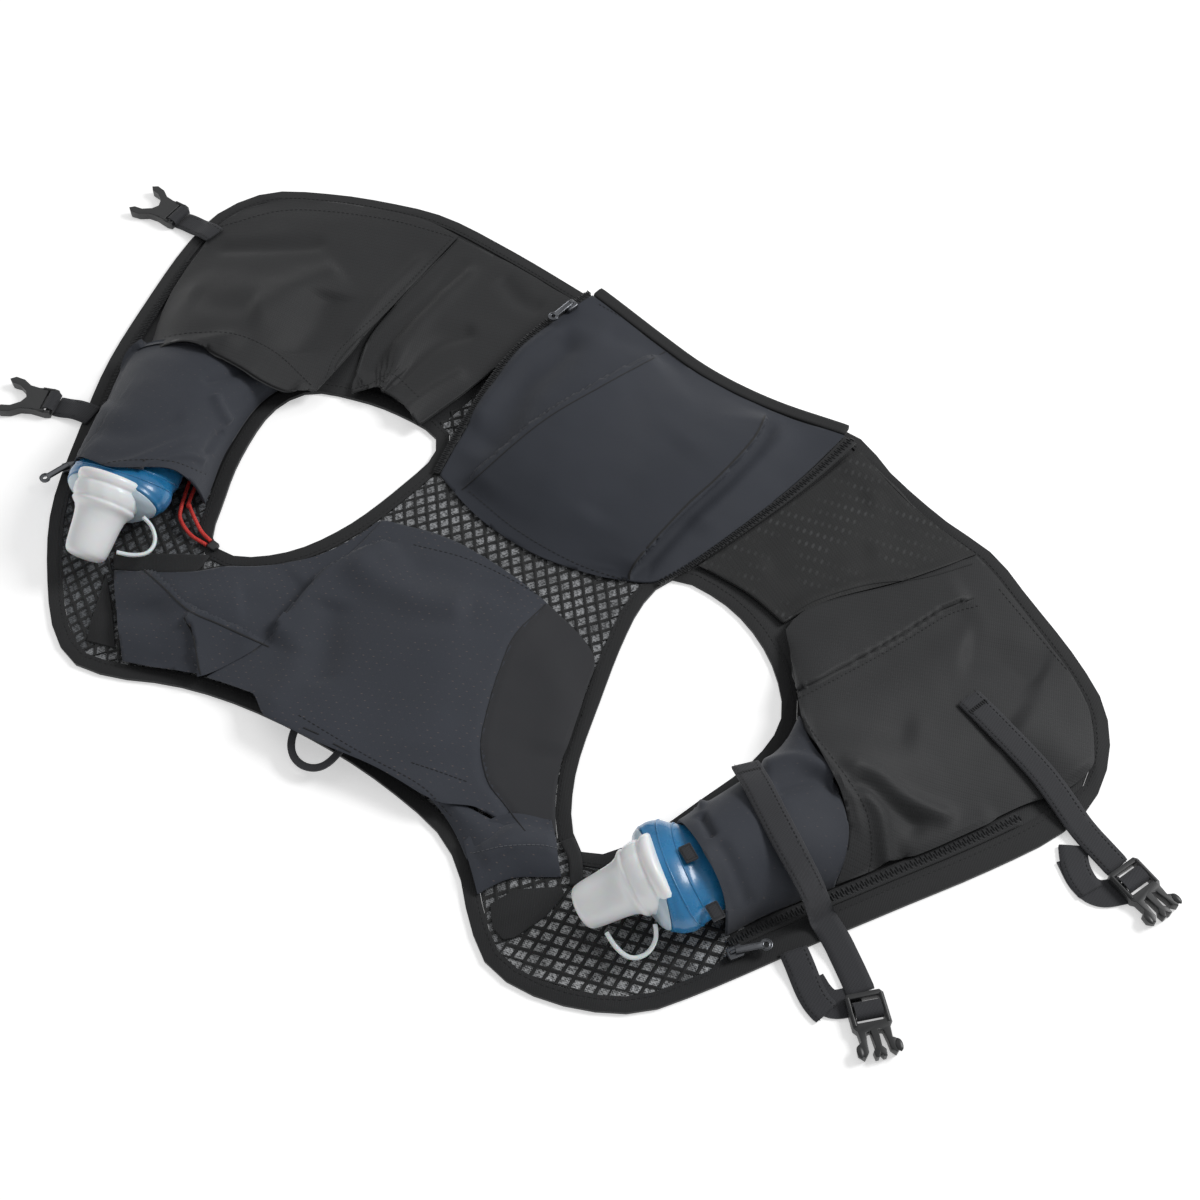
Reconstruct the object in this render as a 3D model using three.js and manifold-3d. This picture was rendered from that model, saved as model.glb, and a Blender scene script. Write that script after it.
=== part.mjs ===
// Running hydration vest laid open on its back, with two soft flasks in its chest sleeves.
// Millimetres: +X to the right, +Y from the neck to the hem, +Z up from the floor.
import * as THREE from "three";
import { mergeVertices } from "three/addons/utils/BufferGeometryUtils.js";
import Module from "manifold-3d";

// Vest body: shares of x follow HALF_SPAN, shares of y follow BODY_LENGTH
const HALF_SPAN = 400;
const BODY_LENGTH = 400;
const CLOTH = 1.4;
const GAP = 0.3;

// Edge bindings and zips
const BINDING = { width: 9, thick: 2.4 };
const FRONT_BAND_WIDTH = 15;
const FRONT_ZIP = { left: 4, right: 9, thick: 1.6 };
const BACK_ZIP = { left: 5, right: 8, thick: 1.8 };

// How far each pocket stands up, which the heights in its table follow
const BACK_PUFF = 22;
const YOKE_PUFF = 12;
const SIDE_PUFF = 10;
const FRONT_PUFF = 28;
const SLEEVE_RISE = 46;
const MOUTH_STEP = 1.2;
const PANEL_STEP = 1;

// Soft flask: shares of its sections follow these
const FLASK = { collar: 26, width: 64, depth: 40, disc: 5, cap: 48, wire: 1.3 };

// Straps, buckles and small fittings
const WEBBING = { width: 16, thick: 1.5 };
const BUCKLE = { length: 36, width: 21, thick: 6 };
const SLIDER = { length: 9, width: 7, thick: 3.5 };
const PULL = { length: 20, width: 6.5, thick: 1.6 };
const TAB = { length: 7, width: 10, thick: 1.6 };
const HANG_LOOP = { width: 5, thick: 1.6 };
const CORD = { diameter: 2.4, sides: 6 };

// Number of points kept on each outline
const RIM_POINTS = 116;
const ARMHOLE_POINTS = 38;

const wasm = await Module();
wasm.setup();

// Finishes
const finish = (color, roughness, metalness = 0) =>
  new THREE.MeshStandardMaterial({ color, roughness, metalness });
const NAVY = finish(0x34373f, 0.8);
const BLACK_MESH = finish(0x2e2f31, 0.85);
const DIAMOND_MESH = finish(0x222326, 0.85);
const TRIM = finish(0x262729, 0.8);
const PLASTIC = finish(0x2a2b2d, 0.45);
const METAL = finish(0x55575a, 0.35, 0.8);
const RED = finish(0xf0443c, 0.6);
const BLUE = finish(0x2f80b5, 0.3);
const CLEAR = finish(0xe9eef2, 0.3);

// Outline of the whole vest, from the left corner of the back over the left front to the neck
const RIM = [
  { x: -27.8, y: 47.3 },
  { x: -46.3, y: 47.2 },
  { x: -60.3, y: 46 },
  { x: -69.8, y: 42.5 },
  { x: -79.8, y: 37.3 },
  { x: -88.5, y: 30.5 },
  { x: -91.5, y: 21.5 },
  { x: -90.3, y: 13 },
  { x: -85, y: -2.5 },
  { x: -79.5, y: -15.8 },
  { x: -72.5, y: -27.8 },
  { x: -63.5, y: -41.5 },
  { x: -54, y: -50.5 },
  { x: -45, y: -56.8 },
  { x: -39, y: -58.4 },
  { x: -33, y: -56.5 },
  { x: -25, y: -51.8 },
  { x: -15, y: -48 },
  { x: 0, y: -45 },
  { x: 12.5, y: -44.3 },
  { x: 22.5, y: -45.2 },
  { x: 28, y: -47.8 },
  { x: 33.8, y: -52.2 },
  { x: 40, y: -55.4 },
  { x: 47.5, y: -54.7 },
  { x: 55.5, y: -51 },
  { x: 60.2, y: -47 },
  { x: 64.3, y: -40 },
  { x: 70.8, y: -26.8 },
  { x: 77.5, y: -13.5 },
  { x: 83.8, y: -1 },
  { x: 88.4, y: 10 },
  { x: 89.3, y: 17 },
  { x: 87.3, y: 24.8 },
  { x: 82.5, y: 31.6 },
  { x: 75, y: 36.3 },
  { x: 63.5, y: 41.3 },
  { x: 55.3, y: 44.7 },
  { x: 45.5, y: 45.6 },
  { x: 34, y: 48 },
  { x: 26, y: 50.8 },
  { x: 12.5, y: 48.3 },
  { x: 0, y: 47 },
  { x: -13.8, y: 47 },
];

const LEFT_ARMHOLE = [
  { x: -26.8, y: 7.5 },
  { x: -35.3, y: 7.3 },
  { x: -42.5, y: 5.3 },
  { x: -49.5, y: 1.5 },
  { x: -51.3, y: -4.5 },
  { x: -48.3, y: -15 },
  { x: -44, y: -23 },
  { x: -39.3, y: -29.8 },
  { x: -35, y: -29.8 },
  { x: -29, y: -24 },
  { x: -25.5, y: -15 },
  { x: -24.3, y: -2.5 },
  { x: -24.6, y: 4.5 },
];

const RIGHT_ARMHOLE = [
  { x: 19.9, y: 9.8 },
  { x: 28, y: 11.3 },
  { x: 36, y: 9.5 },
  { x: 43, y: 5.3 },
  { x: 47.5, y: 0 },
  { x: 48.5, y: -7.5 },
  { x: 46.5, y: -18 },
  { x: 43.8, y: -28.5 },
  { x: 39.6, y: -34.6 },
  { x: 36, y: -33 },
  { x: 30.5, y: -26 },
  { x: 25, y: -13.5 },
  { x: 20.8, y: -2.5 },
  { x: 19.2, y: 4 },
];

// Curves in plan
const plan = ({ x, y }) => new THREE.Vector2((x / 100) * HALF_SPAN, (y / 100) * BODY_LENGTH);

function curve(rows, count, closed = false) {
  const knots = rows.map(plan).map((p) => new THREE.Vector3(p.x, p.y, 0));
  const line = new THREE.CatmullRomCurve3(knots, closed, "centripetal");
  const points = line.getSpacedPoints(count).map((p) => new THREE.Vector2(p.x, p.y));
  return closed ? points.slice(0, -1) : points;
}

function resample(points, count) {
  const run = [0];
  for (let i = 1; i < points.length; i++) {
    run.push(run[i - 1] + points[i].distanceTo(points[i - 1]));
  }
  const total = run[run.length - 1];
  return Array.from({ length: count + 1 }, (_, k) => {
    const s = (total * k) / count;
    const i = Math.max(1, Math.min(points.length - 1, run.findIndex((r) => r >= s - 1e-9)));
    const share = (s - run[i - 1]) / Math.max(run[i] - run[i - 1], 1e-9);
    return points[i - 1].clone().lerp(points[i], share);
  });
}

// A closed outline moved inwards by a distance that may change along it
function inset(loop, distanceAt) {
  const turn = Math.sign(THREE.ShapeUtils.area(loop));
  return loop.map((p, i) => {
    const before = loop[(i + loop.length - 1) % loop.length];
    const after = loop[(i + 1) % loop.length];
    const way = after.clone().sub(before).normalize();
    const inward = new THREE.Vector2(-way.y, way.x).multiplyScalar(turn * distanceAt(p));
    return p.clone().add(inward);
  });
}

// The shorter stretch of a closed outline between the points nearest two given ones
function stretch(loop, from, to) {
  const nearest = (row) => {
    const goal = plan(row);
    const far = loop.map((p) => p.distanceTo(goal));
    return far.indexOf(Math.min(...far));
  };
  const a = nearest(from);
  const b = nearest(to);
  const forward = (b - a + loop.length) % loop.length;
  const step = forward <= loop.length / 2 ? 1 : -1;
  const steps = step > 0 ? forward : loop.length - forward;
  return Array.from(
    { length: steps + 1 },
    (_, k) => loop[(a + step * k + loop.length * 2) % loop.length],
  );
}

// An open line moved sideways, to the left of its direction
function beside(points, distance) {
  return points.map((p, i) => {
    const before = points[Math.max(i - 1, 0)];
    const after = points[Math.min(i + 1, points.length - 1)];
    const way = after.clone().sub(before).normalize();
    return p.clone().add(new THREE.Vector2(-way.y, way.x).multiplyScalar(distance));
  });
}

// The rim, the inner edge of its binding, and the line where the front pockets begin
const ZIP_TOP = 0.16 * BODY_LENGTH;
const ZIP_RAMP = 0.03 * BODY_LENGTH;
const ZIP_FOOT = -0.34 * BODY_LENGTH;
const onFront = (p) => {
  const below = THREE.MathUtils.smoothstep(ZIP_TOP - p.y, 0, ZIP_RAMP);
  const above = THREE.MathUtils.smoothstep(p.y - ZIP_FOOT, -ZIP_RAMP, 0);
  return Math.abs(p.x) > 0.5 * HALF_SPAN ? below * above : 0;
};
const bindingAt = (p) =>
  p.x > 0 ? BINDING.width + (FRONT_BAND_WIDTH - BINDING.width) * onFront(p) : BINDING.width;
const zipAt = (p) => onFront(p) * (p.x > 0 ? FRONT_ZIP.right : FRONT_ZIP.left);
const rim = curve(RIM, RIM_POINTS, true);
const rimInner = inset(rim, bindingAt);
const pocketLine = inset(rim, (p) => bindingAt(p) + zipAt(p));
const leftArmhole = curve(LEFT_ARMHOLE, ARMHOLE_POINTS, true);
const rightArmhole = curve(RIGHT_ARMHOLE, ARMHOLE_POINTS, true);
const around = (loop, extra = 0) => inset(loop, () => -(BINDING.width + extra));
const leftBound = around(leftArmhole);
const rightBound = around(rightArmhole);

// Solids
const vest = new THREE.Group();
function add(name, geometry, material) {
  const mesh = new THREE.Mesh(geometry, material);
  mesh.name = name;
  vest.add(mesh);
  return mesh;
}

function plate(outline, thick, { holes = [], lift = 0 } = {}) {
  const turned = THREE.ShapeUtils.isClockWise(outline) ? outline.slice().reverse() : outline;
  const shape = new THREE.Shape(turned);
  shape.holes = holes.map((hole) => new THREE.Path(hole));
  const geometry = new THREE.ExtrudeGeometry(shape, { depth: thick, bevelEnabled: false });
  return geometry.translate(0, 0, lift);
}

function solid(geometry) {
  const bare = geometry.clone();
  bare.deleteAttribute("normal");
  bare.deleteAttribute("uv");
  const merged = mergeVertices(bare, 1e-4);
  return new wasm.Manifold(
    new wasm.Mesh({
      numProp: 3,
      vertProperties: new Float32Array(merged.attributes.position.array),
      triVerts: new Uint32Array(merged.index.array),
    }),
  );
}

function geometryOf(made) {
  const mesh = made.getMesh();
  const geometry = new THREE.BufferGeometry();
  geometry.setAttribute("position", new THREE.BufferAttribute(mesh.vertProperties, 3));
  geometry.setIndex(new THREE.BufferAttribute(mesh.triVerts, 1));
  return geometry;
}

// The closed skin of a grid of points and the same grid moved through the thickness
function skin(top, bottom, rows, columns) {
  const at = (i, j) => i * columns + j;
  const under = rows * columns;
  const faces = [];
  const quad = (a, b, c, d) => faces.push(a, b, c, a, c, d);
  for (let i = 0; i + 1 < rows; i++) {
    for (let j = 0; j + 1 < columns; j++) {
      quad(at(i, j), at(i + 1, j), at(i + 1, j + 1), at(i, j + 1));
      quad(under + at(i, j), under + at(i, j + 1), under + at(i + 1, j + 1), under + at(i + 1, j));
    }
  }
  const wall = (a, b) => quad(a, b, under + b, under + a);
  for (let i = 0; i + 1 < rows; i++) {
    wall(at(i + 1, 0), at(i, 0));
    wall(at(i, columns - 1), at(i + 1, columns - 1));
  }
  for (let j = 0; j + 1 < columns; j++) {
    wall(at(0, j), at(0, j + 1));
    wall(at(rows - 1, j + 1), at(rows - 1, j));
  }
  const points = [...top, ...bottom];
  const geometry = new THREE.BufferGeometry();
  geometry.setAttribute(
    "position",
    new THREE.Float32BufferAttribute(points.flatMap((p) => p.toArray()), 3),
  );
  geometry.setIndex(faces);
  return facingOut(geometry);
}

function facingOut(geometry) {
  const p = geometry.attributes.position;
  const index = geometry.index.array;
  const corner = (k) => new THREE.Vector3().fromBufferAttribute(p, index[k]);
  let volume = 0;
  for (let k = 0; k < index.length; k += 3) {
    volume += corner(k).dot(corner(k + 1).cross(corner(k + 2)));
  }
  if (volume < 0) {
    for (let k = 0; k < index.length; k += 3) {
      [index[k + 1], index[k + 2]] = [index[k + 2], index[k + 1]];
    }
  }
  return geometry;
}

// A smooth value through evenly or unevenly spaced stations
function smooth(stations, values, s) {
  const last = stations.length - 1;
  const k = Math.max(0, Math.min(last - 1, stations.findIndex((at) => at > s) - 1));
  const i = s >= stations[last] ? last - 1 : k;
  const share = (s - stations[i]) / (stations[i + 1] - stations[i]);
  const v = (n) => values[Math.max(0, Math.min(last, n))];
  const [a, b, c, d] = [v(i - 1), v(i), v(i + 1), v(i + 2)];
  const curved = 0.5 * (2 * b + (c - a) * share + (2 * a - 5 * b + 4 * c - d) * share ** 2 +
    (3 * b - a - 3 * c + d) * share ** 3);
  return Math.max(0, curved);
}

// Heights of a pocket from a table: a row for each section, a column for each place across it
const COLUMNS = ["west", "west_mid", "middle", "east_mid", "east"];
const heights = (rows, puff) => (u, v) => {
  const stations = rows.map((row) => row.at);
  const across = COLUMNS.map((name) => smooth(stations, rows.map((row) => row[name]), u));
  return puff * smooth([0, 0.25, 0.5, 0.75, 1], across, v);
};

// An arch whose rise is given along the length, with a finer step at its steep sides
const archPlace = (t) => (1 - Math.cos(Math.PI * t)) / 2;
const ARCH_POWER = 0.8;
const arch = (rows, rise) => (u, t) =>
  rise * smooth(rows.map((r) => r.at), rows.map((r) => r.rise), u) *
  Math.sin(Math.PI * t) ** ARCH_POWER;

// Cloth laid over the bound edges, between a west and an east edge, closed by two end edges
const LAID = BINDING.thick + GAP;
function planOf(edges, along, across) {
  const west = resample(edges.west, along);
  const east = resample(edges.east, along);
  const straight = [west[0], east[0]];
  const start = resample(edges.start ?? straight, across);
  const end = resample(edges.finish ?? [west[along], east[along]], across);
  const spread = west[0].distanceTo(east[0]) + west[along].distanceTo(east[along]);
  const inShare = (t, length) => GAP / length + t * (1 - (2 * GAP) / length);
  const run = west[0].distanceTo(west[along]);
  return (shareAlong, shareAcross) => {
    const u = inShare(shareAlong, run);
    const v = inShare(shareAcross, spread / 2);
    const row = Math.min(along - 1, Math.floor(u * along));
    const column = Math.min(across - 1, Math.floor(v * across));
    const onWest = west[row].clone().lerp(west[row + 1], u * along - row);
    const onEast = east[row].clone().lerp(east[row + 1], u * along - row);
    const bow = (edge) =>
      edge[column].clone().lerp(edge[column + 1], v * across - column)
        .sub(edge[0].clone().lerp(edge[across], v));
    return onWest.lerp(onEast, v)
      .add(bow(start).multiplyScalar(1 - u))
      .add(bow(end).multiplyScalar(u));
  };
}

function cloth(edges, { along, across, height, place = (t) => t, wall = CLOTH, lift = LAID }) {
  const planAt = planOf(edges, along, across);
  const top = [];
  for (let i = 0; i <= along; i++) {
    for (let j = 0; j <= across; j++) {
      const p = planAt(i / along, place(j / across));
      top.push(new THREE.Vector3(p.x, p.y, lift + wall + height(i / along, j / across)));
    }
  }
  const at = (i, j) =>
    top[Math.max(0, Math.min(along, i)) * (across + 1) + Math.max(0, Math.min(across, j))];
  const bottom = top.map((p, k) => {
    const i = Math.floor(k / (across + 1));
    const j = k % (across + 1);
    const downRow = at(i + 1, j).clone().sub(at(i - 1, j));
    const downColumn = at(i, j + 1).clone().sub(at(i, j - 1));
    const normal = downRow.cross(downColumn).normalize();
    if (normal.z < 0) normal.negate();
    const under = p.clone().addScaledVector(normal, -wall);
    under.z = Math.max(under.z, lift);
    return under;
  });
  return skin(top, bottom, along + 1, across + 1);
}

// Highest surface already laid at a place in plan, for what is laid on top
const down = new THREE.Raycaster();
const DROP = 500;
function topOf(x, y) {
  down.set(new THREE.Vector3(x, y, DROP), new THREE.Vector3(0, 0, -1));
  const hits = down.intersectObjects(vest.children, false);
  return hits.length ? DROP - hits[0].distance : 0;
}

// A flat band that follows a line in plan and lies on whatever is under it
function band(rows, { width, thick, steps, least = 0 }) {
  const line = curve(rows, steps);
  const sides = [beside(line, width / 2), line, beside(line, -width / 2)];
  const shares = [0, 0.2, 0.4, 0.6, 0.8, 1];
  const bare = line.map((_, i) =>
    Math.max(...[i - 1, i + 1].flatMap((k) =>
      shares.flatMap((along) =>
        shares.map((across) => {
          const next = Math.max(0, Math.min(steps, k));
          const a = sides[0][i].clone().lerp(sides[0][next], along);
          return topOf(...a.lerp(sides[2][i].clone().lerp(sides[2][next], along), across));
        }),
      ),
    )),
  );
  const level = bare.map((z) => Math.max(z + GAP, least));
  const rows3 = (side, up) => side.map((p, i) => new THREE.Vector3(p.x, p.y, level[i] + up));
  const weave = (up) => {
    const a = rows3(sides[0], up);
    const b = rows3(sides[2], up);
    return a.flatMap((p, i) => [p, b[i]]);
  };
  return skin(weave(thick), weave(0), steps + 1, 2);
}

// A closed body lofted through oval sections
function loft(sections, sides) {
  const points = sections.flatMap(({ centre, across, up, half_width, half_height }) =>
    Array.from({ length: sides }, (_, k) => {
      const turn = (k / sides) * 2 * Math.PI;
      return centre.clone()
        .addScaledVector(across, half_width * Math.cos(turn))
        .addScaledVector(up, half_height * Math.sin(turn));
    }),
  );
  const faces = [];
  for (let i = 0; i + 1 < sections.length; i++) {
    for (let k = 0; k < sides; k++) {
      const a = i * sides + k;
      const b = i * sides + ((k + 1) % sides);
      faces.push(a, b, b + sides, a, b + sides, a + sides);
    }
  }
  [0, sections.length - 1].forEach((i) => {
    const hub = points.length;
    points.push(sections[i].centre.clone());
    for (let k = 0; k < sides; k++) {
      const rimPoint = [i * sides + k, i * sides + ((k + 1) % sides)];
      faces.push(hub, ...(i ? rimPoint : rimPoint.reverse()));
    }
  });
  const geometry = new THREE.BufferGeometry();
  geometry.setAttribute(
    "position",
    new THREE.Float32BufferAttribute(points.flatMap((p) => p.toArray()), 3),
  );
  geometry.setIndex(faces);
  return facingOut(geometry);
}

function tube(points, diameter, sides, steps) {
  const ring = new THREE.Shape(
    Array.from({ length: sides }, (_, k) => {
      const turn = (k / sides) * 2 * Math.PI;
      return new THREE.Vector2(Math.cos(turn), Math.sin(turn)).multiplyScalar(diameter / 2);
    }),
  );
  const path = new THREE.CatmullRomCurve3(points, false, "centripetal");
  return new THREE.ExtrudeGeometry(ring, { steps, bevelEnabled: false, extrudePath: path });
}

// Base cloth: the whole outline less the armholes, cut along the side and shoulder seams
const wholeCloth = solid(
  plate(inset(rim, (p) => bindingAt(p) + GAP), CLOTH, {
    holes: [around(leftArmhole, GAP), around(rightArmhole, GAP)],
  }),
);
const BASE_PANELS = [
  {
    name: "back_mesh_panel",
    material: DIAMOND_MESH,
    corners: [
      { x: -28, y: 70 }, { x: -28, y: 0 }, { x: -39, y: -30 }, { x: -39, y: -75 },
      { x: 40, y: -75 }, { x: 40, y: -34 }, { x: 20.5, y: 9 }, { x: 25.5, y: 70 },
    ],
  },
  {
    name: "left_shoulder_mesh",
    material: DIAMOND_MESH,
    corners: [
      { x: -39, y: -75 }, { x: -39, y: -30 }, { x: -44, y: -22 }, { x: -75, y: -30 },
      { x: -120, y: -30 }, { x: -120, y: -75 },
    ],
  },
  {
    name: "right_shoulder_mesh",
    material: DIAMOND_MESH,
    corners: [
      { x: 40, y: -75 }, { x: 120, y: -75 }, { x: 120, y: -31 }, { x: 73, y: -31 },
      { x: 45, y: -26 }, { x: 40, y: -34 },
    ],
  },
  {
    name: "left_front_panel",
    material: BLACK_MESH,
    corners: [
      { x: -28, y: 70 }, { x: -120, y: 70 }, { x: -120, y: -30 }, { x: -75, y: -30 },
      { x: -44, y: -22 }, { x: -28, y: 0 },
    ],
  },
  {
    name: "right_front_panel",
    material: BLACK_MESH,
    corners: [
      { x: 25.5, y: 70 }, { x: 20.5, y: 9 }, { x: 45, y: -26 }, { x: 73, y: -31 },
      { x: 120, y: -31 }, { x: 120, y: 70 },
    ],
  },
];
BASE_PANELS.forEach(({ name, material, corners }) => {
  const cutter = plate(inset(corners.map(plan), () => GAP / 2), CLOTH + 2, { lift: -1 });
  add(name, geometryOf(wholeCloth.intersect(solid(cutter))), material);
});

// Bindings round the rim and the armholes
add("outer_binding", plate(rim, BINDING.thick, { holes: [rimInner] }), TRIM);
add("left_armhole_binding", plate(leftBound, BINDING.thick, { holes: [leftArmhole] }), TRIM);
add("right_armhole_binding", plate(rightBound, BINDING.thick, { holes: [rightArmhole] }), TRIM);

// Lower back pocket
const BACK_POCKET = {
  west: [
    { x: -25.3, y: 45.2 }, { x: -26.5, y: 32 }, { x: -26, y: 23 },
    { x: -23.8, y: 12.8 }, { x: -22, y: 5 }, { x: -21, y: 2 },
  ],
  east: [
    { x: 24.6, y: 48.3 }, { x: 23.8, y: 35.8 }, { x: 22.3, y: 24.5 },
    { x: 21, y: 16 }, { x: 19.8, y: 10.5 }, { x: 18.8, y: 7.3 },
  ],
  hem: [
    { x: -25.3, y: 45.2 }, { x: -10, y: 44.6 }, { x: -2, y: 44.4 },
    { x: 11.3, y: 45.6 }, { x: 24.6, y: 48.3 },
  ],
  foot: [
    { x: -21, y: 2 }, { x: -12.5, y: -0.3 }, { x: -6.3, y: -0.8 }, { x: 0, y: -0.5 },
    { x: 6.3, y: 1 }, { x: 11.8, y: 3 }, { x: 18.8, y: 7.3 },
  ],
  sections: [
    { at: 0, west: 0.6, west_mid: 0.32, middle: 0.1, east_mid: 0.12, east: 0.28 },
    { at: 0.15, west: 0.66, west_mid: 0.74, middle: 0.62, east_mid: 0.55, east: 0.14 },
    { at: 0.45, west: 0.6, west_mid: 0.98, middle: 1, east_mid: 0.8, east: 0.06 },
    { at: 0.75, west: 0.32, west_mid: 0.74, middle: 0.8, east_mid: 0.55, east: 0.03 },
    { at: 1, west: 0, west_mid: 0, middle: 0, east_mid: 0, east: 0 },
  ],
};
const EDGE_STEPS = 12;
const BACK_STEPS = 10;
const backWest = curve(BACK_POCKET.west, EDGE_STEPS);
const backEast = curve(BACK_POCKET.east, EDGE_STEPS);
const backHem = curve(BACK_POCKET.hem, EDGE_STEPS);
const backHeight = heights(BACK_POCKET.sections, BACK_PUFF);
add(
  "back_pocket",
  cloth(
    { west: backWest, east: backEast, start: backHem, finish: curve(BACK_POCKET.foot, EDGE_STEPS) },
    { along: BACK_STEPS, across: 12, height: backHeight },
  ),
  NAVY,
);
add(
  "back_hem_binding",
  cloth(
    { west: beside(backHem, BINDING.width), east: backHem },
    { along: EDGE_STEPS, across: 1, height: (u) => backHeight(0, u), wall: BINDING.thick },
  ),
  TRIM,
);
add(
  "back_left_zip",
  cloth(
    { west: beside(backWest, -BACK_ZIP.left), east: backWest },
    { along: BACK_STEPS, across: 1, height: (u) => backHeight(u, 0), wall: BACK_ZIP.thick },
  ),
  TRIM,
);
const backZipEast = backEast.map((p, i) => {
  const width = BACK_ZIP.right * (1 - i / EDGE_STEPS) + 2 * GAP + 1;
  return p.clone().add(new THREE.Vector2(width, 0));
});
add(
  "back_right_zip",
  cloth(
    { west: backEast, east: backZipEast },
    { along: BACK_STEPS, across: 1, height: (u) => backHeight(u, 1), wall: BACK_ZIP.thick },
  ),
  TRIM,
);

// Yoke pocket between the shoulders, open at the neck
const YOKE = {
  west: [
    { x: -21.8, y: -10.3 }, { x: -20.8, y: -18 }, { x: -21, y: -24.3 },
    { x: -19.8, y: -32.5 }, { x: -18.6, y: -38.3 }, { x: -21, y: -48.2 },
  ],
  foot: [
    { x: -21.8, y: -10.3 }, { x: -12.5, y: -6.3 }, { x: 0, y: -5 },
    { x: 12.5, y: -6.5 }, { x: 18.8, y: -8.6 },
  ],
  neck: [
    { x: -21, y: -48.2 }, { x: -12.5, y: -46 }, { x: 0, y: -44 }, { x: 9.3, y: -41.6 },
    { x: 15.5, y: -40.8 }, { x: 22, y: -39.9 }, { x: 30, y: -38.2 }, { x: 34.6, y: -35.2 },
  ],
  sections: [
    { at: 0, west: 0, west_mid: 0, middle: 0, east_mid: 0, east: 0 },
    { at: 0.2, west: 0.15, west_mid: 0.5, middle: 0.6, east_mid: 0.5, east: 0.05 },
    { at: 0.5, west: 0.25, west_mid: 0.8, middle: 0.9, east_mid: 0.6, east: 0.05 },
    { at: 0.8, west: 0.4, west_mid: 0.9, middle: 1, east_mid: 0.6, east: 0.1 },
    { at: 1, west: 0.4, west_mid: 1, middle: 1.1, east_mid: 0.6, east: 0.15 },
  ],
};
const yokeWest = curve(YOKE.west, EDGE_STEPS);
const yokeEast = stretch(rightBound, { x: 18.4, y: -8.4 }, { x: 34.6, y: -35 });
add(
  "yoke_pocket",
  cloth(
    {
      west: yokeWest,
      east: yokeEast,
      start: curve(YOKE.foot, EDGE_STEPS),
      finish: curve(YOKE.neck, EDGE_STEPS),
    },
    { along: 10, across: 12, height: heights(YOKE.sections, YOKE_PUFF) },
  ),
  NAVY,
);

const YOKE_LEFT = {
  band: [{ x: -36.6, y: -35.8 }, { x: -41, y: -39.4 }, { x: -46.8, y: -43.4 }],
  bandEdge: [{ x: -37.4, y: -31.9 }, { x: -43.4, y: -36.5 }, { x: -49.2, y: -41.5 }],
  neck: [{ x: -25.5, y: -50.4 }, { x: -32.8, y: -54.1 }],
  sections: [
    { at: 0, west: 0, west_mid: 0, middle: 0, east_mid: 0, east: 0 },
    { at: 0.3, west: 0, west_mid: 0.1, middle: 0.15, east_mid: 0.2, east: 0.15 },
    { at: 0.6, west: 0.1, west_mid: 0.45, middle: 0.85, east_mid: 0.5, east: 0.35 },
    { at: 0.85, west: 0.1, west_mid: 0.7, middle: 0.45, east_mid: 0.8, east: 0.35 },
    { at: 1, west: 0.02, west_mid: 0.5, middle: 0.3, east_mid: 0.6, east: 0.2 },
  ],
};
add(
  "yoke_left_end",
  cloth(
    {
      west: [
        ...stretch(leftBound, { x: -22.6, y: -10.3 }, { x: -32.6, y: -31.4 }),
        ...YOKE_LEFT.band.map(plan),
      ],
      east: [...yokeWest, ...YOKE_LEFT.neck.map(plan)],
    },
    { along: 12, across: 6, height: heights(YOKE_LEFT.sections, YOKE_PUFF) },
  ),
  NAVY,
);

const YOKE_RIGHT = {
  north: [{ x: 15.5, y: -41 }, { x: 22, y: -40.1 }, { x: 29.8, y: -38.5 }],
  south: [{ x: 15.5, y: -42 }, { x: 19.5, y: -42.4 }, { x: 23.5, y: -43.7 }, { x: 27.8, y: -46 }],
  flapTop: [{ x: 28.5, y: -46 }, { x: 30.6, y: -39.9 }, { x: 35.2, y: -36.5 }],
  flapLow: [{ x: 32.5, y: -48.9 }, { x: 34.5, y: -44.3 }, { x: 39.6, y: -39.6 }],
  band: [{ x: 35.6, y: -35.6 }, { x: 38.4, y: -36.9 }, { x: 41, y: -39.8 }],
  bandEdge: [{ x: 36.6, y: -33.6 }, { x: 39.6, y: -35.3 }, { x: 42.4, y: -38.4 }],
  sections: [
    { at: 0, west: 0.55, west_mid: 0.6, middle: 0.55, east_mid: 0.4, east: 0.2 },
    { at: 0.5, west: 0.4, west_mid: 0.5, middle: 0.5, east_mid: 0.35, east: 0 },
    { at: 1, west: 0.3, west_mid: 0.5, middle: 0.6, east_mid: 0.4, east: 0.05 },
  ],
  flap: [
    { at: 0, west: 0.3, west_mid: 0.25, middle: 0.45, east_mid: 0.35, east: 0.05 },
    { at: 0.5, west: 0.4, west_mid: 0.3, middle: 0.8, east_mid: 0.6, east: 0 },
    { at: 1, west: 0.2, west_mid: 0.2, middle: 0.4, east_mid: 0.3, east: 0 },
  ],
};
add(
  "yoke_right_end",
  cloth(
    { west: curve(YOKE_RIGHT.north, EDGE_STEPS), east: curve(YOKE_RIGHT.south, EDGE_STEPS) },
    { along: 5, across: 4, height: heights(YOKE_RIGHT.sections, YOKE_PUFF) },
  ),
  NAVY,
);
add(
  "yoke_right_flap",
  cloth(
    { west: curve(YOKE_RIGHT.flapTop, EDGE_STEPS), east: curve(YOKE_RIGHT.flapLow, EDGE_STEPS) },
    { along: 5, across: 5, height: heights(YOKE_RIGHT.flap, YOKE_PUFF), lift: CLOTH + GAP },
  ),
  NAVY,
);

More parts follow.
